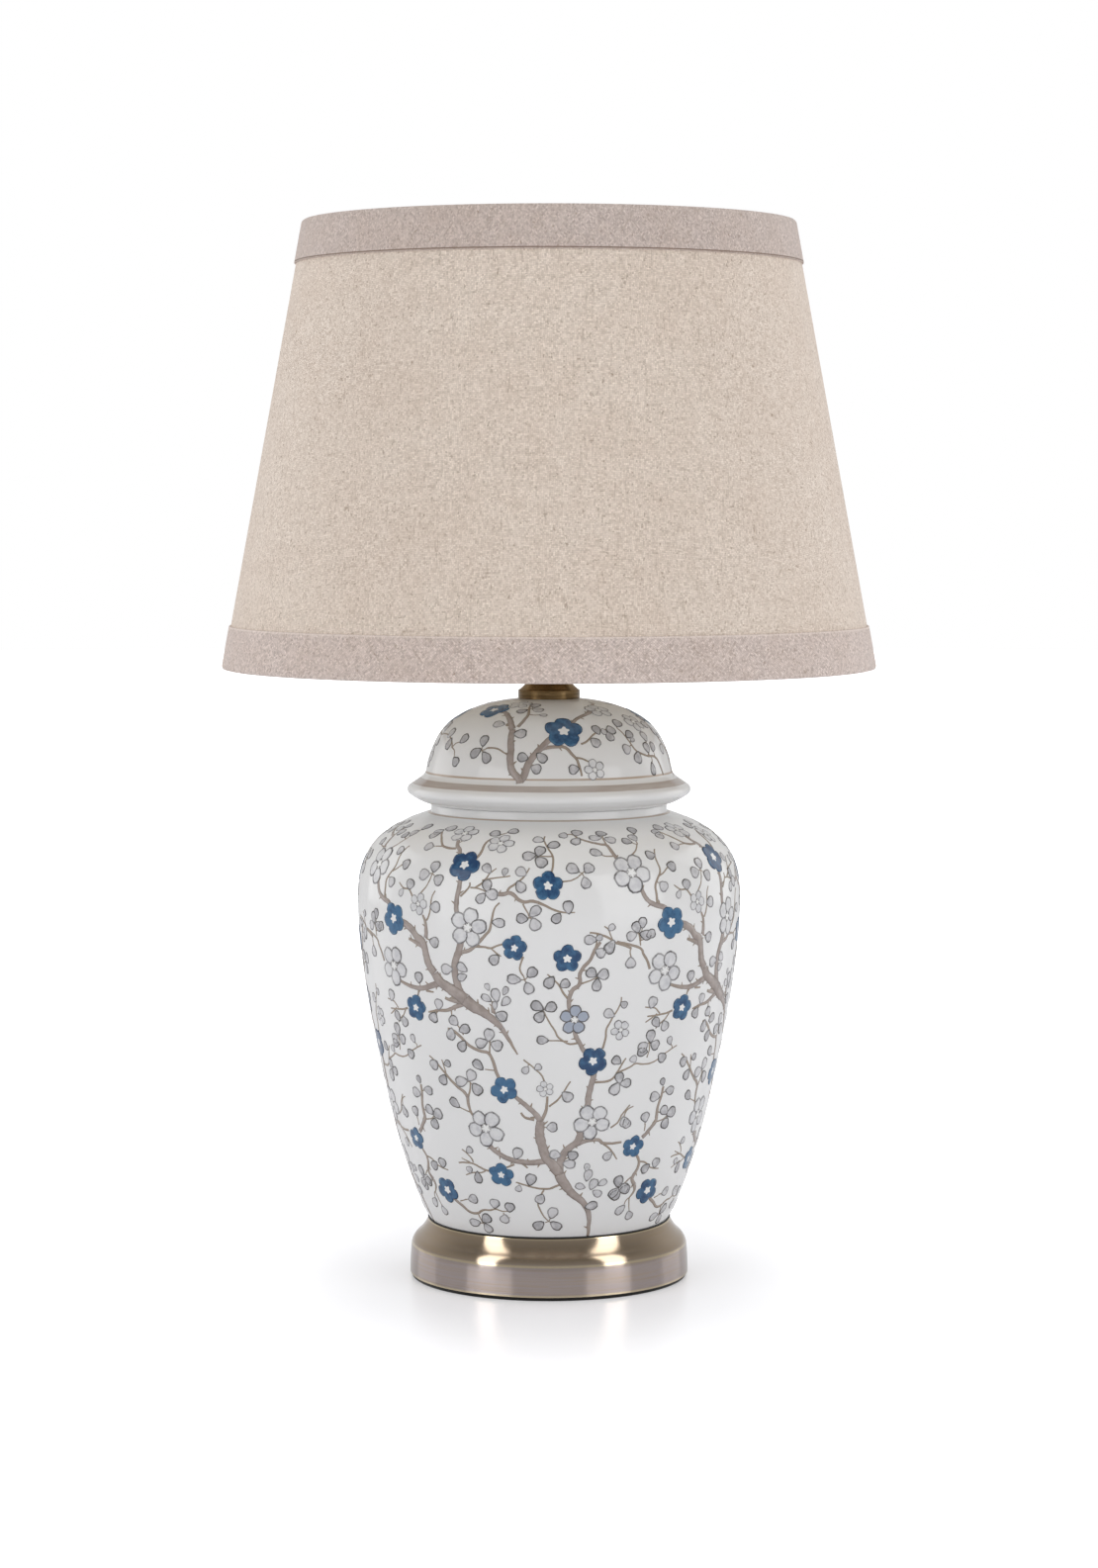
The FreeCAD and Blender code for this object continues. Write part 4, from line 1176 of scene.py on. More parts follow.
def build_stamp_tree():
    tree, given = make_tree("brush_stamps", [
        ("Side", "NodeSocketObject", None), ("Stamp", "NodeSocketObject", None),
        ("Wander", "NodeSocketFloat", 0.0007), ("Copies", "NodeSocketInt", 4),
        ("Seed", "NodeSocketFloat", 0.0), ("Material", "NodeSocketMaterial", None)])
    stamp = add_node(tree, "GeometryNodeObjectInfo", {"Object": given["Stamp"]}).outputs["Geometry"]
    turn = vector(0.0, 0.0, named(tree, "turn"))
    size = vector(named(tree, "wide"), named(tree, "long"), 1.0)
    placed = node_out(tree, "GeometryNodeInstanceOnPoints", {"Points": given["Geometry"],
        "Instance": stamp, "Scale": size, "Rotation": turn})
    real = node_out(tree, "GeometryNodeRealizeInstances", {0: placed})
    shift = hand_wander(tree, 260.0, 1.0, given["Seed"])
    shift = add_node(tree, "ShaderNodeVectorMath", {0: shift, "Scale": given["Wander"]},
        operation="SCALE")
    loose = node_out(tree, "GeometryNodeSetPosition",
        {"Geometry": real, "Offset": shift.outputs[0]})
    lay_on_side(tree, loose, given)
    return tree


STROKE_TREE = build_stroke_tree()
STAMP_TREE = build_stamp_tree()
print("stroke tree has", len(STROKE_TREE.nodes), "nodes, stamp tree", len(STAMP_TREE.nodes))

# %% [markdown]
# ## Stamps
#
# A blossom, a petal and a leaf are each one small mesh, made of rings round a centre, one unit
# across. Each ring carries a tone: 0 is the paper white middle, 1 the wash of colour and 2 the
# drawn outline. The tone runs evenly from ring to ring, and the paint sharpens it to an edge.
# Leaves and petals come by the hundred, so theirs have two rings and few sides.

# %% Stamp meshes


def ring_stamp(name, shape, rings, sides=40):
    """shape(angle): the outline's reach. rings: (share of the reach or a function for it, tone)."""
    verts, tones, faces = [(0.0, 0.0, 0.0)], [rings[0][1]], []
    for share, tone in rings:
        for k in range(sides):
            angle = 2 * math.pi * k / sides
            part = share(angle) if callable(share) else share * shape(angle)
            verts.append((part * math.sin(angle), part * math.cos(angle), 0.0))
            tones.append(tone)
    for ring in range(len(rings)):
        for k in range(sides):
            after = (k + 1) % sides
            outer = 1 + ring * sides
            if ring == 0:
                faces.append((0, outer + after, outer + k))
            else:
                inner = outer - sides
                faces.append((inner + k, inner + after, outer + after, outer + k))
    mesh = bpy.data.meshes.new(name)
    mesh.from_pydata(verts, [], faces)
    write_columns(mesh, {"tone": tones})
    return new_object(name, mesh)


def five_lobes(angle):
    return 0.5 * (0.75 + 0.25 * abs(math.cos(2.5 * angle)) ** 0.7)


def star(size):
    return lambda angle: size * (1.0 + 0.22 * math.cos(5 * angle))


def petal_shape(angle):
    """Round and full outside, narrower towards the blossom's middle."""
    notch = 0.10 * math.exp(-((math.remainder(angle, 2 * math.pi) / 0.28) ** 2))
    return 0.5 * (1.0 - 0.10 * (1 - math.cos(angle)) + 0.03 * math.cos(2 * angle) - notch)


def leaf_shape(angle):
    """Full at the tip, where it has a slight notch, and drawn in to a soft point at its stem."""
    away = (1 - math.cos(angle)) / 2
    notch = 0.10 * math.exp(-((math.remainder(angle, 2 * math.pi) / 0.3) ** 2))
    return 0.5 * (1.0 - 0.38 * away * (1 - away**12) - notch)


BLUE_STAMP = ring_stamp("blue_stamp", five_lobes, [(star(0.06), 0.0), (star(0.115), 0.0),
    (star(0.132), 1.15), (0.55, 1.0), (0.86, 1.0), (1.0, 1.6)], sides=40)
PETAL_STAMP = ring_stamp("petal_stamp", petal_shape, [(0.70, 1.0), (1.0, 2.0)], sides=14)
LEAF_STAMP = ring_stamp("leaf_stamp", leaf_shape, [(0.66, 1.0), (1.0, 2.0)], sides=14)
HEART_STAMP = ring_stamp("heart_stamp", lambda a: 0.5 * (0.72 + 0.28 * math.cos(5 * a)),
    [(0.6, 0.0), (0.80, 0.0), (0.84, 2.0), (1.0, 2.0)], sides=20)
STAMPS = (BLUE_STAMP, PETAL_STAMP, LEAF_STAMP, HEART_STAMP)
print("stamps:", ", ".join(stamp.name for stamp in STAMPS))

# %% [markdown]
# ## The jar's drawing
#
# Each branch is (width at its start, width at its end, its points). Widths are in millimetres.
# The trees grow from the foot, lean left as they climb, and throw thin twigs that end in leaves.

# %% Jar branches
JAR_BRANCHES = [
    (1.6, 6.0, [(18.2, 0), (17.5, 12), (15, 22), (9, 30), (5, 38), (4, 42)]),
    (6.0, 5.0, [(4, 42), (2, 47), (-1, 53), (-2.5, 60), (-3.3, 68), (-3, 75)]),
    (4.6, 4.2, [(4, 42), (4, 48), (5, 54), (7.5, 59), (10, 62), (12, 70)]),
    (3.6, 3.4, [(12, 78), (13, 84), (13.2, 90), (14, 97), (14.5, 102), (14.1, 108)]),
    (2.4, 2.6, [(14, 112), (11, 117), (9.5, 122), (8, 127), (7.7, 133)]),
    (2.6, 1.8, [(7.3, 138), (6, 143), (6, 148), (7, 153), (9, 156), (9, 162), (10, 166), (12, 170),
    (13.5, 176), (15, 180)]),
    (2.8, 1.2, [(10, 61), (14, 63), (18, 63), (20, 60.5), (27, 60.5)]),
    (1.2, 0.8, [(20, 60), (23, 56), (26, 50)]),
    (1.0, 0.8, [(22, 70), (24.5, 73), (26, 78), (28.5, 83)]),
    (3.6, 2.6, [(-1, 51), (-5, 49.5), (-10, 49.5), (-16, 52), (-20, 56), (-22.5, 60)]),
    (1.6, 0.8, [(-10, 49), (-8, 46)]), (1.4, 1.0, [(-13, 48), (-16, 46)]),
    (1.4, 0.8, [(4, 35), (0, 33), (-4, 33), (-9, 35), (-13, 36.5)]),
    (1.0, 0.8, [(-2, 32), (-3, 29), (-3.5, 26), (-4.5, 22), (-2, 14)]),
    (3.4, 2.2, [(-3, 75), (-5, 80), (-8, 85), (-10, 88), (-13, 92)]),
    (2.0, 1.6, [(-15.5, 97), (-17, 103), (-18, 110), (-19.3, 115), (-22, 116), (-25, 118),
    (-27, 120.5), (-28.5, 123.5), (-31, 127), (-33, 128)]),
    (1.8, 1.2, [(-5, 76), (-8, 77), (-9.5, 80)]),
    (2.2, 1.2, [(-3, 75), (-2, 77), (-1, 82), (-0.5, 90)]),
    (0.9, 0.8, [(-1.5, 99), (-3, 104), (-8, 112)]),
    (1.1, 0.8, [(0, 84), (3, 88), (4.5, 92), (7, 99)]),
    (1.2, 0.8, [(9, 122), (6, 121.5), (3, 125), (1.5, 130), (-1, 138)]),
    (0.8, 0.7, [(6, 123), (0, 123.5)]),
    (1.3, 0.7, [(5.5, 148), (4, 152), (2.5, 157), (-0.5, 162)]), (1.1, 0.7, [(9, 156), (13, 159)]),
    (1.4, 0.9, [(15, 98), (20, 98.5), (22, 102), (24, 108), (25.3, 111.5)]),
    (1.1, 0.7, [(22, 102.5), (27, 106), (29, 108), (32, 107), (36, 108), (41, 113), (45, 116)]),
    (1.3, 0.7, [(17, 118), (17.8, 125), (18, 130), (20, 137), (22, 144), (22.2, 148)]),
    (0.8, 3.0, [(-10, 115), (-12, 122), (-14.5, 130)]),
    (3.0, 7.6, [(-14.5, 130), (-17, 135), (-20, 139), (-24, 143), (-26, 146)]),
    (1.2, 0.8, [(-7.5, 172), (-8.5, 165), (-7.5, 161)]),
    (1.2, 1.6, [(20, 180), (27, 176), (28.5, 172), (30, 168), (31, 163)]),
    (7.6, 5.2, [(-26, 146), (-30, 151), (-34, 155), (-36, 160)]),
    (5.2, 4.0, [(-36, 160), (-38, 165), (-39, 172), (-40, 178), (-42, 180), (-44, 184), (-47, 187),
    (-50, 188)]),
    (5.0, 3.8, [(-27, 148), (-28, 153), (-28.7, 160), (-28.7, 165), (-28, 170), (-27, 174),
    (-26.5, 178), (-26, 182)]),
    (2.5, 0.8, [(-27, 173), (-24, 174.5), (-22, 177), (-20.5, 179.5), (-19, 183), (-17.5, 186),
    (-16.8, 190), (-16.2, 196), (-15.5, 200), (-14.3, 202.3)]),
    (1.3, 1.0, [(-22, 177), (-19, 177), (-17, 176.5), (-15, 178), (-13, 178.8)]),
    (0.9, 0.7, [(-17, 176.5), (-15.5, 174), (-14, 172)]),
    (4.0, 1.5, [(-34, 155), (-37, 153), (-40, 151), (-44, 150.3), (-48, 151.5), (-51.5, 153.3)]),
    (1.6, 0.8, [(-40, 149.5), (-37, 149)]), (1.2, 0.9, [(-43, 149), (-43.5, 146)]),
    (4.0, 1.5, [(-25, 146), (-28, 144.5), (-31, 145), (-33, 146)]),
    (3.0, 1.0, [(-26, 143.5), (-30, 141), (-33, 138.8), (-36, 138.3), (-39.8, 136.8)]),
    (0.9, 0.7, [(-36, 138), (-37, 136)]), (0.9, 0.7, [(-31, 139), (-31, 136)]),
    (2.5, 1.6, [(-17, 139), (-17, 146)]),
    (3.0, 1.5, [(-40, 175), (-43, 177), (-45.5, 178.5)]),
    (1.2, 0.8, [(-49, 137.5), (-52, 136), (-58.5, 135.5)]),
    (0.9, 0.7, [(-50, 137), (-51.5, 133), (-53.5, 130.5), (-55, 128)]),
    (0.9, 0.7, [(-55, 136.5), (-57, 134), (-59, 132)]),
    (0.9, 0.7, [(-54, 136.5), (-56, 140), (-59.5, 141)]),
    (0.8, 0.6, [(-57, 111), (-56.5, 115)]),
    (2.2, 0.8, [(-28.3, 88), (-29.5, 91), (-31.5, 93), (-33.5, 96), (-35.5, 99.5), (-36, 101),
    (-37.5, 103.5), (-39.5, 107.5), (-42, 110.5)]),
    (1.0, 0.7, [(-36, 100), (-36.2, 104), (-36.8, 109)]),
    (1.2, 0.8, [(-28, 88), (-27, 93), (-26.5, 97)]),
    (1.0, 0.8, [(-19, 115), (-18.8, 119)]), (0.9, 0.7, [(-27.5, 125), (-28.2, 128), (-29.5, 131)]),
    (0.8, 0.6, [(-17, 105), (-19.5, 105), (-21, 105.3)]),
]
JAR_BRANCHES += [
    (1.2, 0.8, [(0.8, 220), (1.3, 226), (1.2, 230), (0.3, 234), (-1, 239), (-1.8, 243),
    (-1.5, 247)]), (0.9, 0.7, [(1.2, 230), (-3.3, 230)]),
    (0.9, 0.7, [(4, 214.3), (6.5, 215), (8.8, 217.3)]),
    (2.6, 1.6, [(-16, 206.8), (-13, 207), (-11.5, 207.8), (-10, 206.3), (-8.6, 204), (-7, 203),
    (-5, 203.4), (-3, 202.8)]),
    (1.6, 0.6, [(-3, 202.8), (-1, 201), (1, 199), (3, 197.5), (5, 197), (7.5, 197.3)]),
    (1.4, 0.7, [(-12, 208), (-12, 210), (-10, 213), (-8, 216), (-6.8, 219), (-5.8, 222.5)]),
    (0.9, 0.7, [(-7.5, 202), (-6.8, 199), (-6, 196.5), (-5.8, 195)]),
    (2.6, 1.6, [(23.5, 222), (22, 226), (21.2, 230), (20.5, 234), (19.8, 238), (18, 238.5),
    (15.5, 240)]),
    (1.6, 0.8, [(15.5, 240), (12.5, 242.5), (10.2, 245), (9.5, 247.5), (8, 249), (5.5, 248.5)]),
    (0.9, 0.7, [(21, 229.5), (18.5, 229.5), (17, 230.5)]),
    (1.0, 0.7, [(19.8, 238.5), (19.5, 242), (19.8, 246), (20.2, 249)]),
    (0.9, 0.7, [(27.5, 230), (29.5, 233), (31.5, 238)]),
    (1.0, 1.5, [(11.8, 185.5), (14, 185), (15.5, 184), (17.5, 182), (19.5, 179.5), (22, 178),
    (24.5, 176)]),
    (0.9, 0.7, [(14, 184.5), (13.8, 180), (13.2, 175), (12.5, 172)]),
    (0.8, 0.6, [(16, 189), (17.3, 187), (17.8, 184.5), (18.5, 181.5)]),
    (0.9, 0.7, [(27.3, 180), (27.5, 177)]),
    (3.5, 2.0, [(-53, 192), (-54.5, 197.5), (-57.5, 199.5), (-60, 202), (-61.5, 206), (-62.3, 210),
    (-63.5, 214)]),
    (1.6, 0.8, [(-57, 198), (-57, 204), (-57.3, 210), (-56, 214), (-54.5, 219), (-54.5, 226),
    (-53.8, 231), (-53.2, 233)]),
    (0.9, 0.7, [(-55, 216), (-53, 218), (-51, 221), (-50, 224)]),
    (3.0, 1.2, [(-38.5, 180), (-38.3, 184), (-38.5, 189), (-39.5, 193)]),
    (1.1, 0.7, [(-38, 190), (-37, 194), (-36.6, 198), (-36.3, 203), (-35.2, 207)]),
    (1.2, 0.7, [(-43.5, 202), (-45.5, 206.5), (-48, 207), (-50.3, 210)]),
    (0.9, 0.7, [(-40.5, 205), (-38.8, 209), (-37.8, 213)]),
    (3.2, 2.6, [(-26.8, 192), (-27.7, 197), (-27.6, 203), (-27.2, 209), (-27, 216)]),
    (1.3, 0.9, [(-26.5, 205), (-25, 208), (-23.8, 210.5), (-23.8, 213)]),
    (1.0, 0.8, [(-23.5, 210), (-21.5, 210), (-19.5, 209)]),
    (1.2, 0.8, [(-22, 210), (-20, 213), (-18.5, 217), (-17.8, 219)]),
    (1.0, 0.7, [(-20, 214.5), (-17.5, 215.5), (-15, 216.5), (-11.5, 217.5)]),
    (0.8, 0.6, [(-17.5, 219.5), (-16, 222)]),
    (2.6, 2.2, [(-29.5, 229), (-30.5, 233), (-32, 236), (-33.3, 241)]),
    (1.6, 1.1, [(-32, 234), (-35, 233.8), (-38, 235.5), (-40.5, 240), (-43, 245), (-45, 250)]),
    (0.9, 0.7, [(-38, 235), (-41, 234.5)]),
    (2.0, 0.9, [(-24.5, 226), (-23, 229), (-22.3, 233), (-22.3, 238), (-21.5, 242), (-19.5, 245)]),
    (0.9, 0.7, [(-18.5, 248), (-16, 250)]),
    (1.5, 2.6, [(-48.3, 92), (-48.7, 86), (-49.5, 80), (-49.5, 74), (-49.3, 71), (-51, 68),
    (-53, 64), (-54.5, 62)]),
    (0.9, 0.7, [(-49, 71), (-46.5, 71.5)]), (0.8, 0.6, [(-48, 88), (-46.5, 89.5)]),
    (0.8, 0.6, [(-54, 70), (-54, 66)]),
    (0.8, 0.7, [(-63.5, 75), (-62.5, 80), (-60, 82)]),
    (1.6, 2.4, [(-55.5, 51), (-54, 47), (-54, 43), (-55.5, 38), (-55.3, 35), (-53.8, 32)]),
    (2.4, 0.8, [(-53.8, 32), (-53.2, 29), (-54, 26), (-55, 24)]),
    (1.1, 0.7, [(-53.5, 47), (-51, 46), (-49, 44), (-48, 42.5), (-45, 41), (-42.5, 40.5)]),
    (1.0, 0.8, [(-55.5, 38), (-57.5, 36), (-60, 32)]),
    (2.2, 1.4, [(-43.5, 23), (-42.5, 21), (-40, 18.5), (-38, 16), (-36, 14.3), (-34, 14),
    (-31, 15)]),
    (1.4, 0.6, [(-31, 15), (-28.5, 16.8), (-26, 17), (-23, 18), (-20, 17), (-17, 17.5)]),
    (0.7, 0.6, [(-40, 21), (-37, 22.5)]), (0.8, 0.6, [(-19.5, 16), (-19.3, 13), (-17, 13)]),
    (1.2, 0.9, [(-22.5, 43), (-25, 43.5), (-27, 45), (-30, 46.8), (-33, 47), (-36.5, 46.3)]),
    (0.8, 0.6, [(-31, 47.3), (-34.5, 49.7)]),
    (0.9, 0.7, [(-29.5, 47.5), (-30, 50), (-32, 53), (-33.8, 55)]),
    (0.9, 0.7, [(-25, 43), (-27, 41.3), (-30, 41), (-32, 40), (-34, 38.8)]),
    (2.2, 2.6, [(-21.8, 63), (-21.5, 58.5), (-19, 55), (-17, 52.5), (-15, 51)]),
    (1.0, 2.2, [(-26, 74), (-27.5, 78), (-28.3, 83), (-28.3, 88)]),
    (0.8, 0.6, [(-28, 79), (-30, 80), (-32, 81)]),
]
print(len(JAR_BRANCHES), "branches")

# %% Jar leaves and blossoms
JAR_BLUE = [(-0.3, 212, 17), (-10, 177, 14), (5.3, 171, 16), (-26.7, 223, 19), (-52, 189, 19),
    (-45, 138.5, 15), (14.1, 110.8, 17), (-14.9, 93.6, 16), (-58, 57, 14), (-18.5, 41, 15),
    (-46, 27, 16.5)]
DUSK = 1.6      # a shade past 1.5 mixes blue into the grey
JAR_GREY = [(-24, 187.6, 23), (25.5, 218.6, 24), (-53.5, 161.6, 24), (-22.5, 69.6, 23),
    (15, 74.2, 22), (-16.7, 239.6, 16), (-33, 247.6, 17), (7.7, 135.6, 17.5, DUSK),
    (-41.3, 199, 13), (22.5, 128.6, 12), (-1.2, 94.6, 10)]
JAR_TREFOILS = [[(28, 35.5), (27, 28.5), (31, 31)], [(-3.5, 143.5), (0.5, 143), (-2.8, 137.5)],
    [(12.5, 162.5), (16, 161.5), (14.2, 155.5)], [(23.5, 100), (26, 96.5), (22.3, 93.5)],
    [(-5, 163), (-10.3, 159), (-6, 154)], [(-56.5, 123.5), (-59, 117.5), (-54.5, 118)],
    [(-30, 97), (-26.2, 101), (-24.5, 93)], [(-18.8, 126), (-21.5, 121), (-16.5, 120)],
    [(-6.3, 230.3), (-3, 233.8), (-2.5, 226.3)], [(7.2, 222), (12, 222), (10.8, 213.5)],
    [(-7.7, 193.7), (-4, 197.7), (-4, 190.5)], [(26, 187.6), (24.5, 182.8), (29, 183)],
    [(-37, 221), (-40.3, 216), (-34.7, 213.5)], [(-18.3, 211.5), (-20, 204.5), (-16.8, 206.8)],
    [(-46, 77), (-42.3, 75.3), (-44.5, 69)], [(-61.5, 35.5), (-58, 30), (-62, 27)],
    [(-35, 7.5), (-28.5, 11), (-28.7, 4.5)], [(1.5, 17), (-4.5, 8.5), (3, 8.5)]]
JAR_LEAVES = [(27, 73), (-7, 38.5), (-3.5, 26.3), (2.2, 54.5), (8.5, 54), (7.5, 48.5), (1, 71.5),
    (-11.5, 55), (22, 52.5), (17.7, 21), (6, 90), (-2, 123.8), (0.2, 157.5), (4.6, 156.5),
    (22, 110.5), (31, 114.5), (18.5, 138.5), (-14.5, 137.5), (24.5, 167.5), (15, 174), (18, 177.5),
    (-14.6, 191), (-16, 170), (-31.5, 163), (-42.5, 156.5), (-35.5, 142), (-38, 134), (-30.5, 133),
    (-57, 143.5), (-55, 131.5), (-51.5, 129), (-51, 110), (-40.3, 105.5), (-37.3, 97),
    (-28.3, 118.5), (-27, 128.5), (-32, 125), (-23.3, 107.7), (1.5, 238.8), (-3.7, 243.5),
    (-8.3, 220), (-8.3, 211.5), (2.2, 194), (5.5, 200), (15.3, 232.3), (16.8, 244.7), (22, 242.5),
    (20, 249), (9.5, 242), (5.3, 248), (10.5, 250.3), (28, 240.5), (12, 181.5), (17.8, 176.7),
    (-54.3, 209.8), (-49.6, 221), (-56, 229), (-59.2, 183.3), (-62, 190), (-35, 198), (-35.5, 178),
    (-45.3, 209.5), (-19, 221.5), (-43.5, 234), (-46, 247.5), (-42, 252), (-46, 244),
    (-58.5, 243.5), (-56, 251), (-20.5, 249), (-14, 252), (-51.5, 86.5), (-45, 89), (-54.5, 74.5),
    (-62, 72), (-50, 42), (-45, 44.5), (-58.3, 16.5), (-33, 23.5), (-23, 21.8), (-16.5, 20),
    (-19.5, 12), (-28.5, 38), (-33.8, 83.5), (-52.8, 12)]
JAR_BUDS = [(-12, 32.7), (-7.5, 105.8), (-3.5, 107.5), (28, 110.5), (23, 143.5), (-34.8, 107),
    (18.2, 188), (-48.8, 204.5), (-13.3, 219.8), (-49, 95), (-30.5, 55), (-31.8, 42.5),
    (14.5, 182.5), (-48.5, 119.5)]
JAR_PETALS = [(-16, 149.5, 9, 7, -10), (-19, 147.5, 7.4, 5.6, -60), (-13, 146, 7.6, 6.2, 45),
    (-18.5, 154, 5, 4, -20), (-13, 152.2, 6, 4.6, 25), (-16.4, 143.5, 5.5, 4, 0),
    (15, 41, 8.5, 6.5, 10), (12.3, 34, 7, 5.5, -70), (17.5, 35, 8, 7, 20), (21.3, 35.5, 6.5, 5.5,
    60), (19.5, 29, 7, 6, 120), (14.3, 46, 5.5, 4.5, 0), (-26.3, 164.5, 8, 7, -60),
    (-26.5, 159, 7, 6, -110)]
THORN_EVERY = 7.0
print(len(JAR_BLUE), "blue and", len(JAR_GREY), "grey blossoms,",
    len(JAR_LEAVES) + 3 * len(JAR_TREFOILS), "leaves")

# %% [markdown]
# ## From a drawing to pieces
#
# The lists above only say where things grow. The rest is worked out: a leaf points away from the
# nearest twig and gets a fine stem if it stands off, a trefoil's three leaves point away from their
# middle, and stout branches get thorns on alternate sides. Small random changes come from a fixed
# seed.

# %% Strokes, stamps and their places


def side_radius(path, run):
    """The side's radius at a distance along it, all in millimetres."""
    here = 0.0
    for first, second in zip(path, path[1:]):
        step = math.dist(first, second)
        if here + step >= run or second == path[-1]:
            share = min(max((run - here) / step, 0.0), 1.0)
            return first[0] + (second[0] - first[0]) * share
        here += step
    return path[-1][0]


# How far each layer of paint stands above the glaze, in millimetres, so that no two touch.
LEAF_LIFT, LOOSE_LIFT, PETAL_LIFT, BLUE_LIFT, HEART_LIFT = 0.150, 0.155, 0.170, 0.230, 0.245
TREFOIL_LEAF = (8.2, 8.0)


class Drawing:
    """A flat drawing on a turned side: strokes and stamps, each with its place and sizes."""

    def __init__(self, name, path, start, copies, seed):
        self.name, self.path, self.start, self.copies = name, path, start, copies
        self.chance = random.Random(seed)
        self.strokes, self.stamps, self.inked = [], {}, []

    def radius(self, run):
        return side_radius(self.path, run + self.start)

    def offset(self, origin, place):
        """The step from one place to another in millimetres, the short way round."""
        quarter = 360.0 / self.copies
        around = (place[0] - origin[0] + quarter / 2) % quarter - quarter / 2
        return math.radians(around) * self.radius((origin[1] + place[1]) / 2), place[1] - origin[1]

    def shifted(self, origin, dx, dy):
        return origin[0] + math.degrees(dx / self.radius(origin[1] + dy / 2)), origin[1] + dy

    def stroke(self, start_width, end_width, points, grows=True):
        self.strokes.append((start_width, end_width, points))
        if grows:
            for first, second in zip(points, points[1:]):
                for k in range(6):
                    self.inked.append(tuple(a + (b - a) * k / 6 for a, b in zip(first, second)))
            self.inked.append(points[-1])

    def nearest(self, place):
        return min(self.inked, key=lambda spot: math.hypot(*self.offset(spot, place)))

    def stamp(self, kind, place, length, width, direction, lift, shade):
        """direction is (right, up). Sizes are in millimetres."""
        turn = math.atan2(-direction[0], direction[1])
        self.stamps.setdefault(kind, []).append((place, length, width, turn, lift, shade))

    def thorns(self, every):
        for start_width, end_width, points in list(self.strokes):
            if max(start_width, end_width) < 2.4:
                continue
            total = sum(math.hypot(*self.offset(a, b)) for a, b in zip(points, points[1:]))
            done, due, side = 0.0, every * self.chance.uniform(0.3, 0.8), 1
            for first, second in zip(points, points[1:]):
                dx, dy = self.offset(first, second)
                step = math.hypot(dx, dy)
                while due < done + step:
                    share = due / total
                    width = start_width + (end_width - start_width) * share
                    due += every * self.chance.uniform(0.55, 1.3)
                    if width < 2.0:
                        continue
                    part = (due - done) / step if due < done + step else 0.5
                    root = self.shifted(first, dx * part, dy * part)
                    lean = self.chance.uniform(0.2, 0.9)
                    reach = width / 2 + self.chance.uniform(0.8, 2.0)
                    nx, ny = -dy / step * side, dx / step * side
                    tip = self.shifted(root, (nx + lean * dx / step) * reach,
                        (ny + lean * dy / step) * reach)
                    self.strokes.append((min(2.2, 0.55 * width), 0.35, [root, tip]))
                    side = -side
                done += step

    def stem(self, root, dx, dy, share=1.0):
        """A fine, slightly bent line that goes a share of the way."""
        bend = self.chance.uniform(-0.12, 0.12)
        middle = self.shifted(root, dx * share * 0.5 - dy * bend, dy * share * 0.5 + dx * bend)
        self.stroke(0.8, 0.6, [root, middle, self.shifted(root, dx * share, dy * share)],
            grows=False)

    def leaf(self, place, length, width, away_from=None):
        root = away_from or self.nearest(place)
        dx, dy = self.offset(root, place)
        far = math.hypot(dx, dy)
        length *= self.chance.uniform(0.88, 1.12)
        width *= self.chance.uniform(0.88, 1.12)
        tilt = self.chance.uniform(-0.25, 0.25)
        direction = (dx * math.cos(tilt) - dy * math.sin(tilt),
            dx * math.sin(tilt) + dy * math.cos(tilt))
        self.stamp("leaf", place, length, width, direction, LEAF_LIFT, self.chance.random())
        gap = far - length / 2
        if away_from is None and 0.7 < gap < 14.0:
            self.stem(root, dx, dy, gap / far * 1.06)

    def trefoil(self, places):
        centre = [places[0][0], places[0][1]]
        for place in places[1:]:
            centre = [c + (p - c) / (places.index(place) + 1) for c, p in zip(centre, place)]
        centre = tuple(centre)
        root = self.nearest(centre)
        dx, dy = self.offset(root, centre)
        if 0.8 < math.hypot(dx, dy) < 18.0:
            self.stem(root, dx, dy)
        for place in places:
            self.leaf(place, *TREFOIL_LEAF, away_from=centre)
            dx, dy = self.offset(centre, place)
            self.stroke(0.6, 0.6, [centre, self.shifted(centre, dx * 0.35, dy * 0.35)], grows=False)

    def blue_blossom(self, place, size):
        angle = self.chance.uniform(0, 2 * math.pi)
        self.stamp("blue", place, size * self.chance.uniform(0.97, 1.06),
            size * self.chance.uniform(0.97, 1.06), (math.sin(angle), math.cos(angle)), BLUE_LIFT,
            self.chance.random())

    def grey_blossom(self, place, size, dusk=0.0):
        first = self.chance.uniform(0, 2 * math.pi)
        for k in range(5):
            angle = first + k * 2 * math.pi / 5 + self.chance.uniform(-0.1, 0.1)
            reach = size * 0.275
            centre = self.shifted(place, reach * math.sin(angle), reach * math.cos(angle))
            self.stamp("petal", centre, size * self.chance.uniform(0.44, 0.50),
                size * self.chance.uniform(0.42, 0.48), (math.sin(angle), math.cos(angle)),
                PETAL_LIFT + 0.010 * k, dusk + 0.5 * self.chance.random())
        self.stamp("heart", place, size * 0.30, size * 0.30, (math.sin(first), math.cos(first)),
            HEART_LIFT, 1.0 if size < 14 else 0.0)

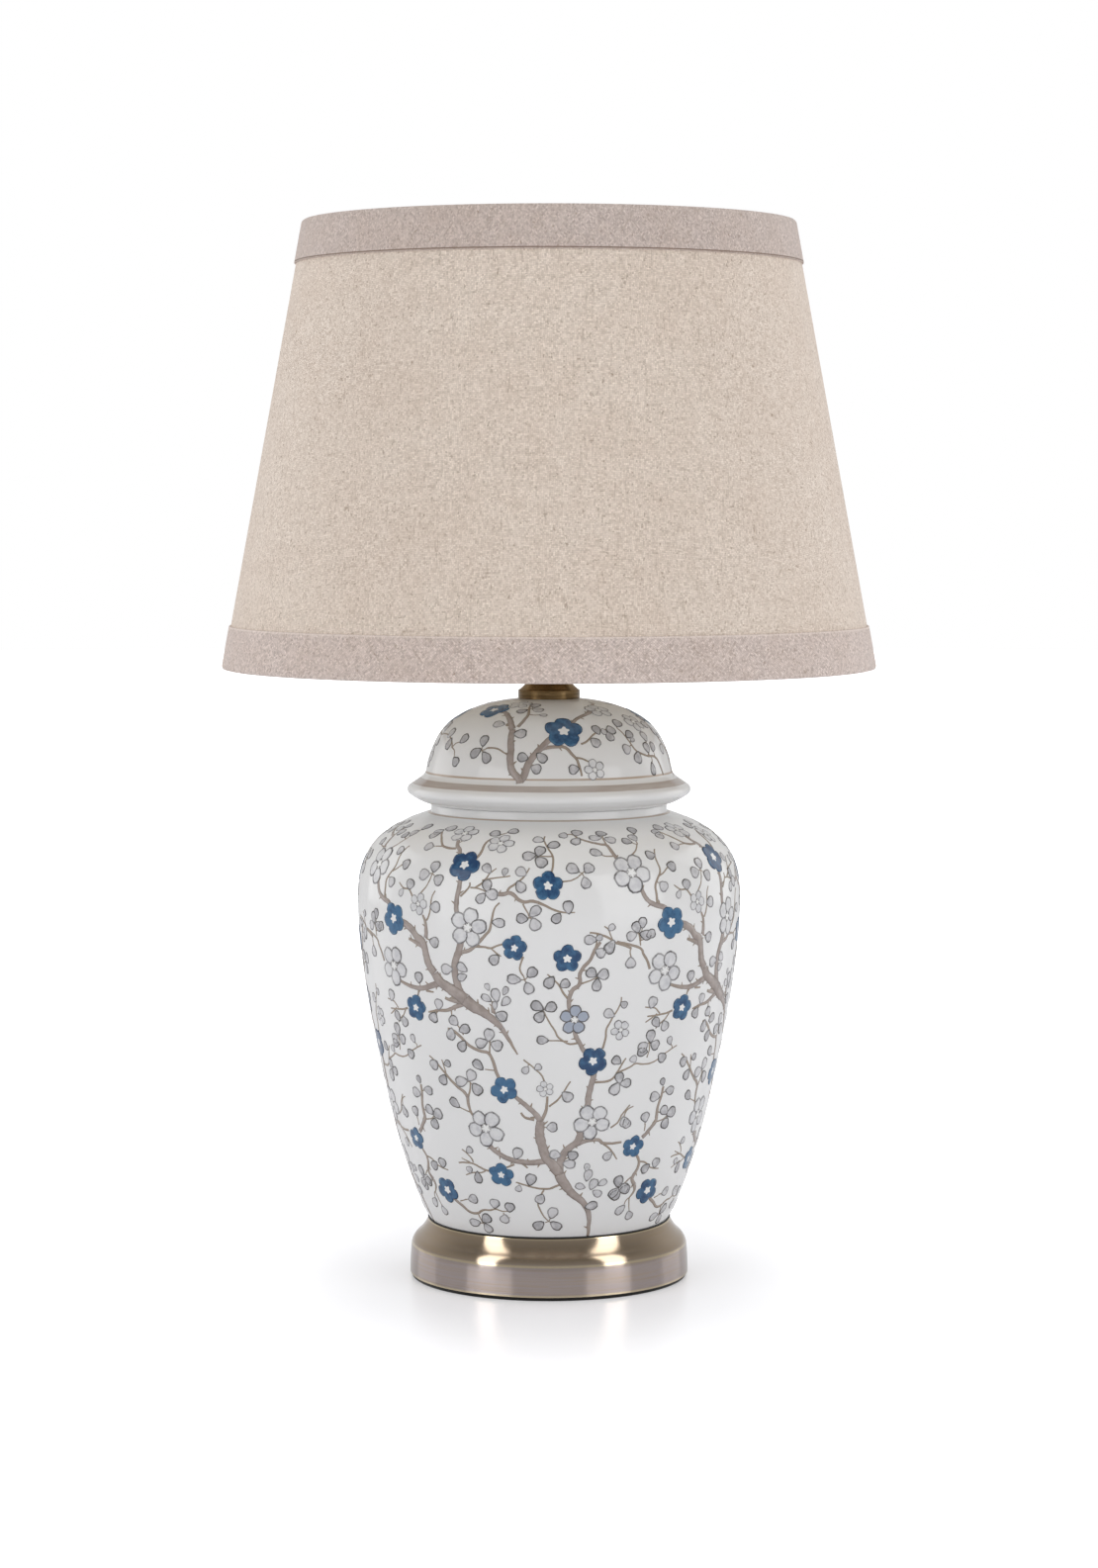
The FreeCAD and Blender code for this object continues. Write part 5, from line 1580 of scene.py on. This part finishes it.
    def shape_of_strokes(self):
        mesh = bpy.data.meshes.new(self.name + "_strokes")
        verts, edges, values = [], [], {"azimuth": [], "width": [], "lift": []}
        for start_width, end_width, points in self.strokes:
            middle = sum(place[0] for place in points) / len(points)
            runs = [0.0]
            for first, second in zip(points, points[1:]):
                runs.append(runs[-1] + math.hypot(*self.offset(first, second)))
            for i, (azimuth, run) in enumerate(points):
                width = start_width + (end_width - start_width) * runs[i] / max(runs[-1], 1e-6)
                if i:
                    edges.append((len(verts) - 1, len(verts)))
                verts.append((math.radians(azimuth - middle) * self.radius(run) * MM,
                    (run + self.start) * MM, 0.0))
                values["azimuth"].append(math.radians(middle))
                values["width"].append(width * MM)
                values["lift"].append((0.085 + 0.007 * max(start_width, end_width)) * MM)
        mesh.from_pydata(verts, edges, [])
        write_columns(mesh, values)
        return bpy.data.objects.new(mesh.name, mesh)

    def shape_of_stamps(self, kind):
        mesh = bpy.data.meshes.new(self.name + "_" + kind)
        rows = self.stamps[kind]
        mesh.from_pydata([(0.0, (row[0][1] + self.start) * MM, 0.0) for row in rows], [], [])
        write_columns(mesh, {"azimuth": [math.radians(row[0][0]) for row in rows],
            "long": [row[1] * MM for row in rows], "wide": [row[2] * MM for row in rows],
            "turn": [row[3] for row in rows], "lift": [row[4] * MM for row in rows],
            "shade": [row[5] for row in rows]})
        return bpy.data.objects.new(mesh.name, mesh)


print("drawing tools ready")

# %% [markdown]
# ## Paint under the glaze
#
# The colours lie under the same clear glaze as the white, so they share its gloss. Cobalt pools
# unevenly and is darkest at the brush's edge, with a worn paler fringe. The grey wash is thin and
# its outline is drawn with a finer brush. The branches are one flat taupe, a little yellower where
# they are thin, with a darker edge.

# %% Paint materials


def attribute(tree, name):
    return add_node(tree, "ShaderNodeAttribute", attribute_name=name,
        attribute_type="GEOMETRY").outputs["Fac"]


def paint(name, wash, pool, outline, paper, grain=260.0, fringe=None, dusk=None):
    """Tone 0 is paper, 1 the wash, 2 the outline. shade darkens a stamp, past 1.5 also bluer."""
    finish, tree, shader = new_material(name, Roughness=0.13, IOR=1.5)
    point = object_point(tree)
    tone, shade = attribute(tree, "tone"), attribute(tree, "shade")
    cloud = noise(point, grain, 3.0, 0.6) + (maths("MINIMUM", shade, 1.0) - 0.5) * 0.3
    colour = blend(remap(cloud, 0.3, 0.72), wash, pool)
    if fringe:
        worn = remap(tone, 1.0, 1.45) * remap(noise(point, 190.0, 2.0), 0.42, 0.6)
        colour = blend(worn, colour, fringe)
    if dusk:
        colour = blend(remap(shade, 1.4, 1.6, 0.0, 0.6), colour, dusk)
    faint = blend(remap(cloud, 0.35, 0.6, 0.6, 1.0), colour, outline)
    colour = blend(remap(tone, 1.2, 1.55), colour, faint)
    colour = blend(remap(tone, 0.35, 0.65), paper, colour)
    surface(shader, colour)
    return finish


def branch_paint():
    finish, tree, shader = new_material("taupe_branch_paint", Roughness=0.13, IOR=1.5)
    point = object_point(tree)
    cloud = noise(point, 180.0, 3.0, 0.6)
    rim, width = attribute(tree, "rim"), attribute(tree, "width")
    thin = remap(width, 0.003, 0.0008)
    colour = blend(remap(cloud, 0.3, 0.7), ink(167, 156, 150), ink(148, 137, 131))
    colour = blend(thin, colour, ink(150, 136, 120))
    edge = remap(rim, 0.72, 0.95) * 0.45
    colour = blend(edge, colour, ink(116, 103, 92))
    surface(shader, colour)
    return finish


BRANCH_PAINT = branch_paint()
PAPER = ink(229, 229, 228)
BLUE_PAINT = paint("cobalt_paint", ink(60, 104, 140), ink(30, 64, 102), ink(26, 50, 84), PAPER,
    230.0, fringe=ink(88, 132, 160))
GREY_PAINT = paint("grey_wash_paint", ink(214, 214, 215), ink(190, 190, 194), ink(96, 94, 94),
    PAPER, dusk=ink(128, 144, 168))
LEAF_PAINT = paint("leaf_wash_paint", ink(202, 201, 203), ink(164, 163, 166), ink(84, 82, 80),
    PAPER)
HEART_PAINT = paint("blossom_heart_paint", PAPER, ink(222, 216, 202), ink(140, 138, 136), PAPER)
print("five paints mixed")

# %% Painting the jar


def paint_piece(drawing, source, tree, part, finish, side, **values):
    mesh = grow(source, tree, {"Side": side, "Copies": drawing.copies, "Material": finish,
        **values})
    mesh.name = drawing.name + "_" + part
    outward(mesh)
    settle(new_object(mesh.name, mesh), "lamp_body", "glazed_ware")
    print(mesh.name, len(mesh.polygons), "faces")


def paint_all(drawing):
    name = drawing.name + "_side"
    side = new_object(name, outline_mesh(name, drawing.path))
    paint_piece(drawing, drawing.shape_of_strokes(), STROKE_TREE, "branches", BRANCH_PAINT, side,
        Seed=3.0)
    for kind, part, stamp, finish, wander in (
            ("leaf", "leaves", LEAF_STAMP, LEAF_PAINT, 0.0007),
            ("petal", "grey_petals", PETAL_STAMP, GREY_PAINT, 0.0009),
            ("heart", "blossom_hearts", HEART_STAMP, HEART_PAINT, 0.0006),
            ("blue", "blue_blossoms", BLUE_STAMP, BLUE_PAINT, 0.0016)):
        paint_piece(drawing, drawing.shape_of_stamps(kind), STAMP_TREE, part, finish, side,
            Stamp=stamp, Wander=wander, Seed=5.0)
    bpy.data.objects.remove(side)


def fill(drawing, branches, blue, grey, trefoils, leaves, buds, leaf_size, bud_size):
    """Draws all lists in the order that the random draws depend on. Sizes are (length, width)."""
    for branch in branches:
        drawing.stroke(*branch)
    drawing.thorns(THORN_EVERY)
    for azimuth, run, size in blue:
        drawing.blue_blossom((azimuth, run), size)
    for azimuth, run, *size in grey:
        drawing.grey_blossom((azimuth, run), *size)
    for places in trefoils:
        drawing.trefoil(places)
    for growing, size in ((leaves, leaf_size), (buds, bud_size)):
        for place in growing:
            drawing.leaf(place, *size)


jar_drawing = Drawing("jar", spline(JAR_SIDE), 0.0, 4, 11)
fill(jar_drawing, JAR_BRANCHES, JAR_BLUE, JAR_GREY, JAR_TREFOILS, JAR_LEAVES, JAR_BUDS,
    leaf_size=(7.7, 7.6), bud_size=(5.4, 5.3))
for azimuth, run, length, width, bearing in JAR_PETALS:
    direction = (math.sin(math.radians(bearing)), math.cos(math.radians(bearing)))
    jar_drawing.stamp("leaf", (azimuth, run), length, width, direction, LOOSE_LIFT, 0.2)
paint_all(jar_drawing)

# %% [markdown]
# ## The lid's drawing
#
# The dome carries the same kind of branch, drawn twice round it. A place is measured from the
# dome's foot, so the first stretch of the side, below the dome, has negative numbers.

# %% Painting the lid
LID_BRANCHES = [
    (4.4, 3.8, [(-13, -3.5), (-14, 0), (-17, 4), (-18.5, 10), (-19, 17), (-20, 24), (-20.5, 30)]),
    (3.8, 2.6, [(-20.5, 30), (-23, 35), (-27, 41), (-33, 46), (-41, 48)]),
    (2.2, 1.0, [(-18, 32), (-15.5, 38), (-14.5, 45), (-16.5, 52), (-19, 60)]),
    (2.4, 1.6, [(-22, 34), (-26, 34)]),
    (4.2, 3.6, [(-13, -2), (-11.5, 1), (-10.5, 5), (-9, 10), (-6, 15), (-3, 19), (0, 23), (4, 26)]),
    (2.4, 1.2, [(-5, 17), (2, 18.5), (8, 18), (11, 14), (13, 11), (14.5, 5), (15, 1)]),
    (1.2, 0.9, [(12, 12), (16, 11), (19, 9)]),
    (2.0, 2.6, [(12, 33), (17, 39), (24, 43), (30, 46), (36, 49)]),
    (2.6, 1.8, [(30, 46), (36, 52), (44, 57), (55, 61)]),
    (1.2, 0.8, [(16, 20), (20, 22), (24, 26), (29, 29), (33, 29.5), (37, 31)]),
    (1.6, 0.8, [(66, -1), (64, 6), (61, 10), (55, 11), (50, 13), (47, 15), (45, 20), (43, 26),
    (41, 30)]),
    (1.1, 0.8, [(-32, 17), (-27, 17), (-23, 15), (-19, 12.5)]),
    (1.1, 0.8, [(-56, 16), (-59, 20), (-65, 23), (-72, 24)]),
    (3.0, 2.6, [(84, -3), (82, 3), (83, 9), (86, 15), (90, 21), (91, 27), (89, 33)]),
    (2.0, 0.9, [(83, 10), (79, 16), (76, 22), (77, 29)]),
    (1.6, 0.8, [(90, 21), (96, 24), (102, 23), (108, 24)]),
    (1.3, 0.8, [(86, 15), (91, 13), (95, 12)]),
    (2.2, 0.9, [(88, 42), (84, 49), (86, 56)]),
]
LID_BLUE = [(-47, 49, 19), (8, 29, 22), (89.5, 38, 18)]
LID_GREY = [(21.5, 4.5, 13), (41, 49, 17), (60, 34, 16), (98.5, 9.5, 15), (-30, 60, 14)]
LID_TREFOILS = [[(-35, 21.5), (-38, 14), (-31.5, 11.5)], [(-21, 49), (-9, 51), (-13, 58)],
    [(71, 31), (78, 36), (76, 26)]]
LID_LEAVES = [(-15.5, 27), (-30.5, 34), (-12.5, 12), (-3.5, 12), (-6, 5.5), (11.5, 5), (24, 21),
    (27, 29.5), (33.5, 24.5), (36, 29), (44, 34), (47, 25), (41.5, 16), (47.5, 10.5), (56.5, 16),
    (59, 23), (62.5, 16), (57, 3), (-64, 25), (-60.5, 18), (74, 14), (103, 29), (97, 30), (91, 8),
    (-49, 22), (-50, 8)]
LID_BUDS = [(-4, 44), (31, 28), (47.5, 21.5), (80, 22), (104, 18), (80, 57)]

lid_low = [(75.6, 293.9)] + draw((74.4, 294.9), ((72.9, 296.4), LID_DOME[0]), closed=False)
lid_side = lid_low + spline(LID_DOME)[1:]
lid_start = sum(math.dist(a, b) for a, b in zip(lid_low, lid_low[1:]))
lid_drawing = Drawing("lid", lid_side, lid_start, 2, 23)
fill(lid_drawing, LID_BRANCHES, LID_BLUE, LID_GREY, LID_TREFOILS, LID_LEAVES, LID_BUDS,
    leaf_size=(7.8, 7.6), bud_size=(5.0, 4.4))
paint_all(lid_drawing)
for stamp in STAMPS:
    bpy.data.objects.remove(stamp)

# %% [markdown]
# ## Which lamps the metal sees
#
# Brushed metal shows two bright stripes where it mirrors a pair of narrow, strong lamps, while the
# glaze has none. A photographer flags such lamps off the glaze with black cards. Light linking
# does the same: each lamp keeps a collection of the pieces that it lights, or leaves out.

# %% Lamp links


def link_lamps(lamps, name, pieces, state):
    group = bpy.data.collections.new(name)
    for piece in pieces:
        group.objects.link(bpy.data.objects[piece])
    for entry in group.collection_objects:
        entry.light_linking.link_state = state
    for lamp in lamps:
        lamp.light_linking.receiver_collection = group


METAL_PIECES = ("spun_foot", "vase_cap_turned")
link_lamps(METAL_STRIPS, "striped_by_lamps", METAL_PIECES, "INCLUDE")
link_lamps(BROAD_BOXES, "flagged_from_lamps", METAL_PIECES, "EXCLUDE")
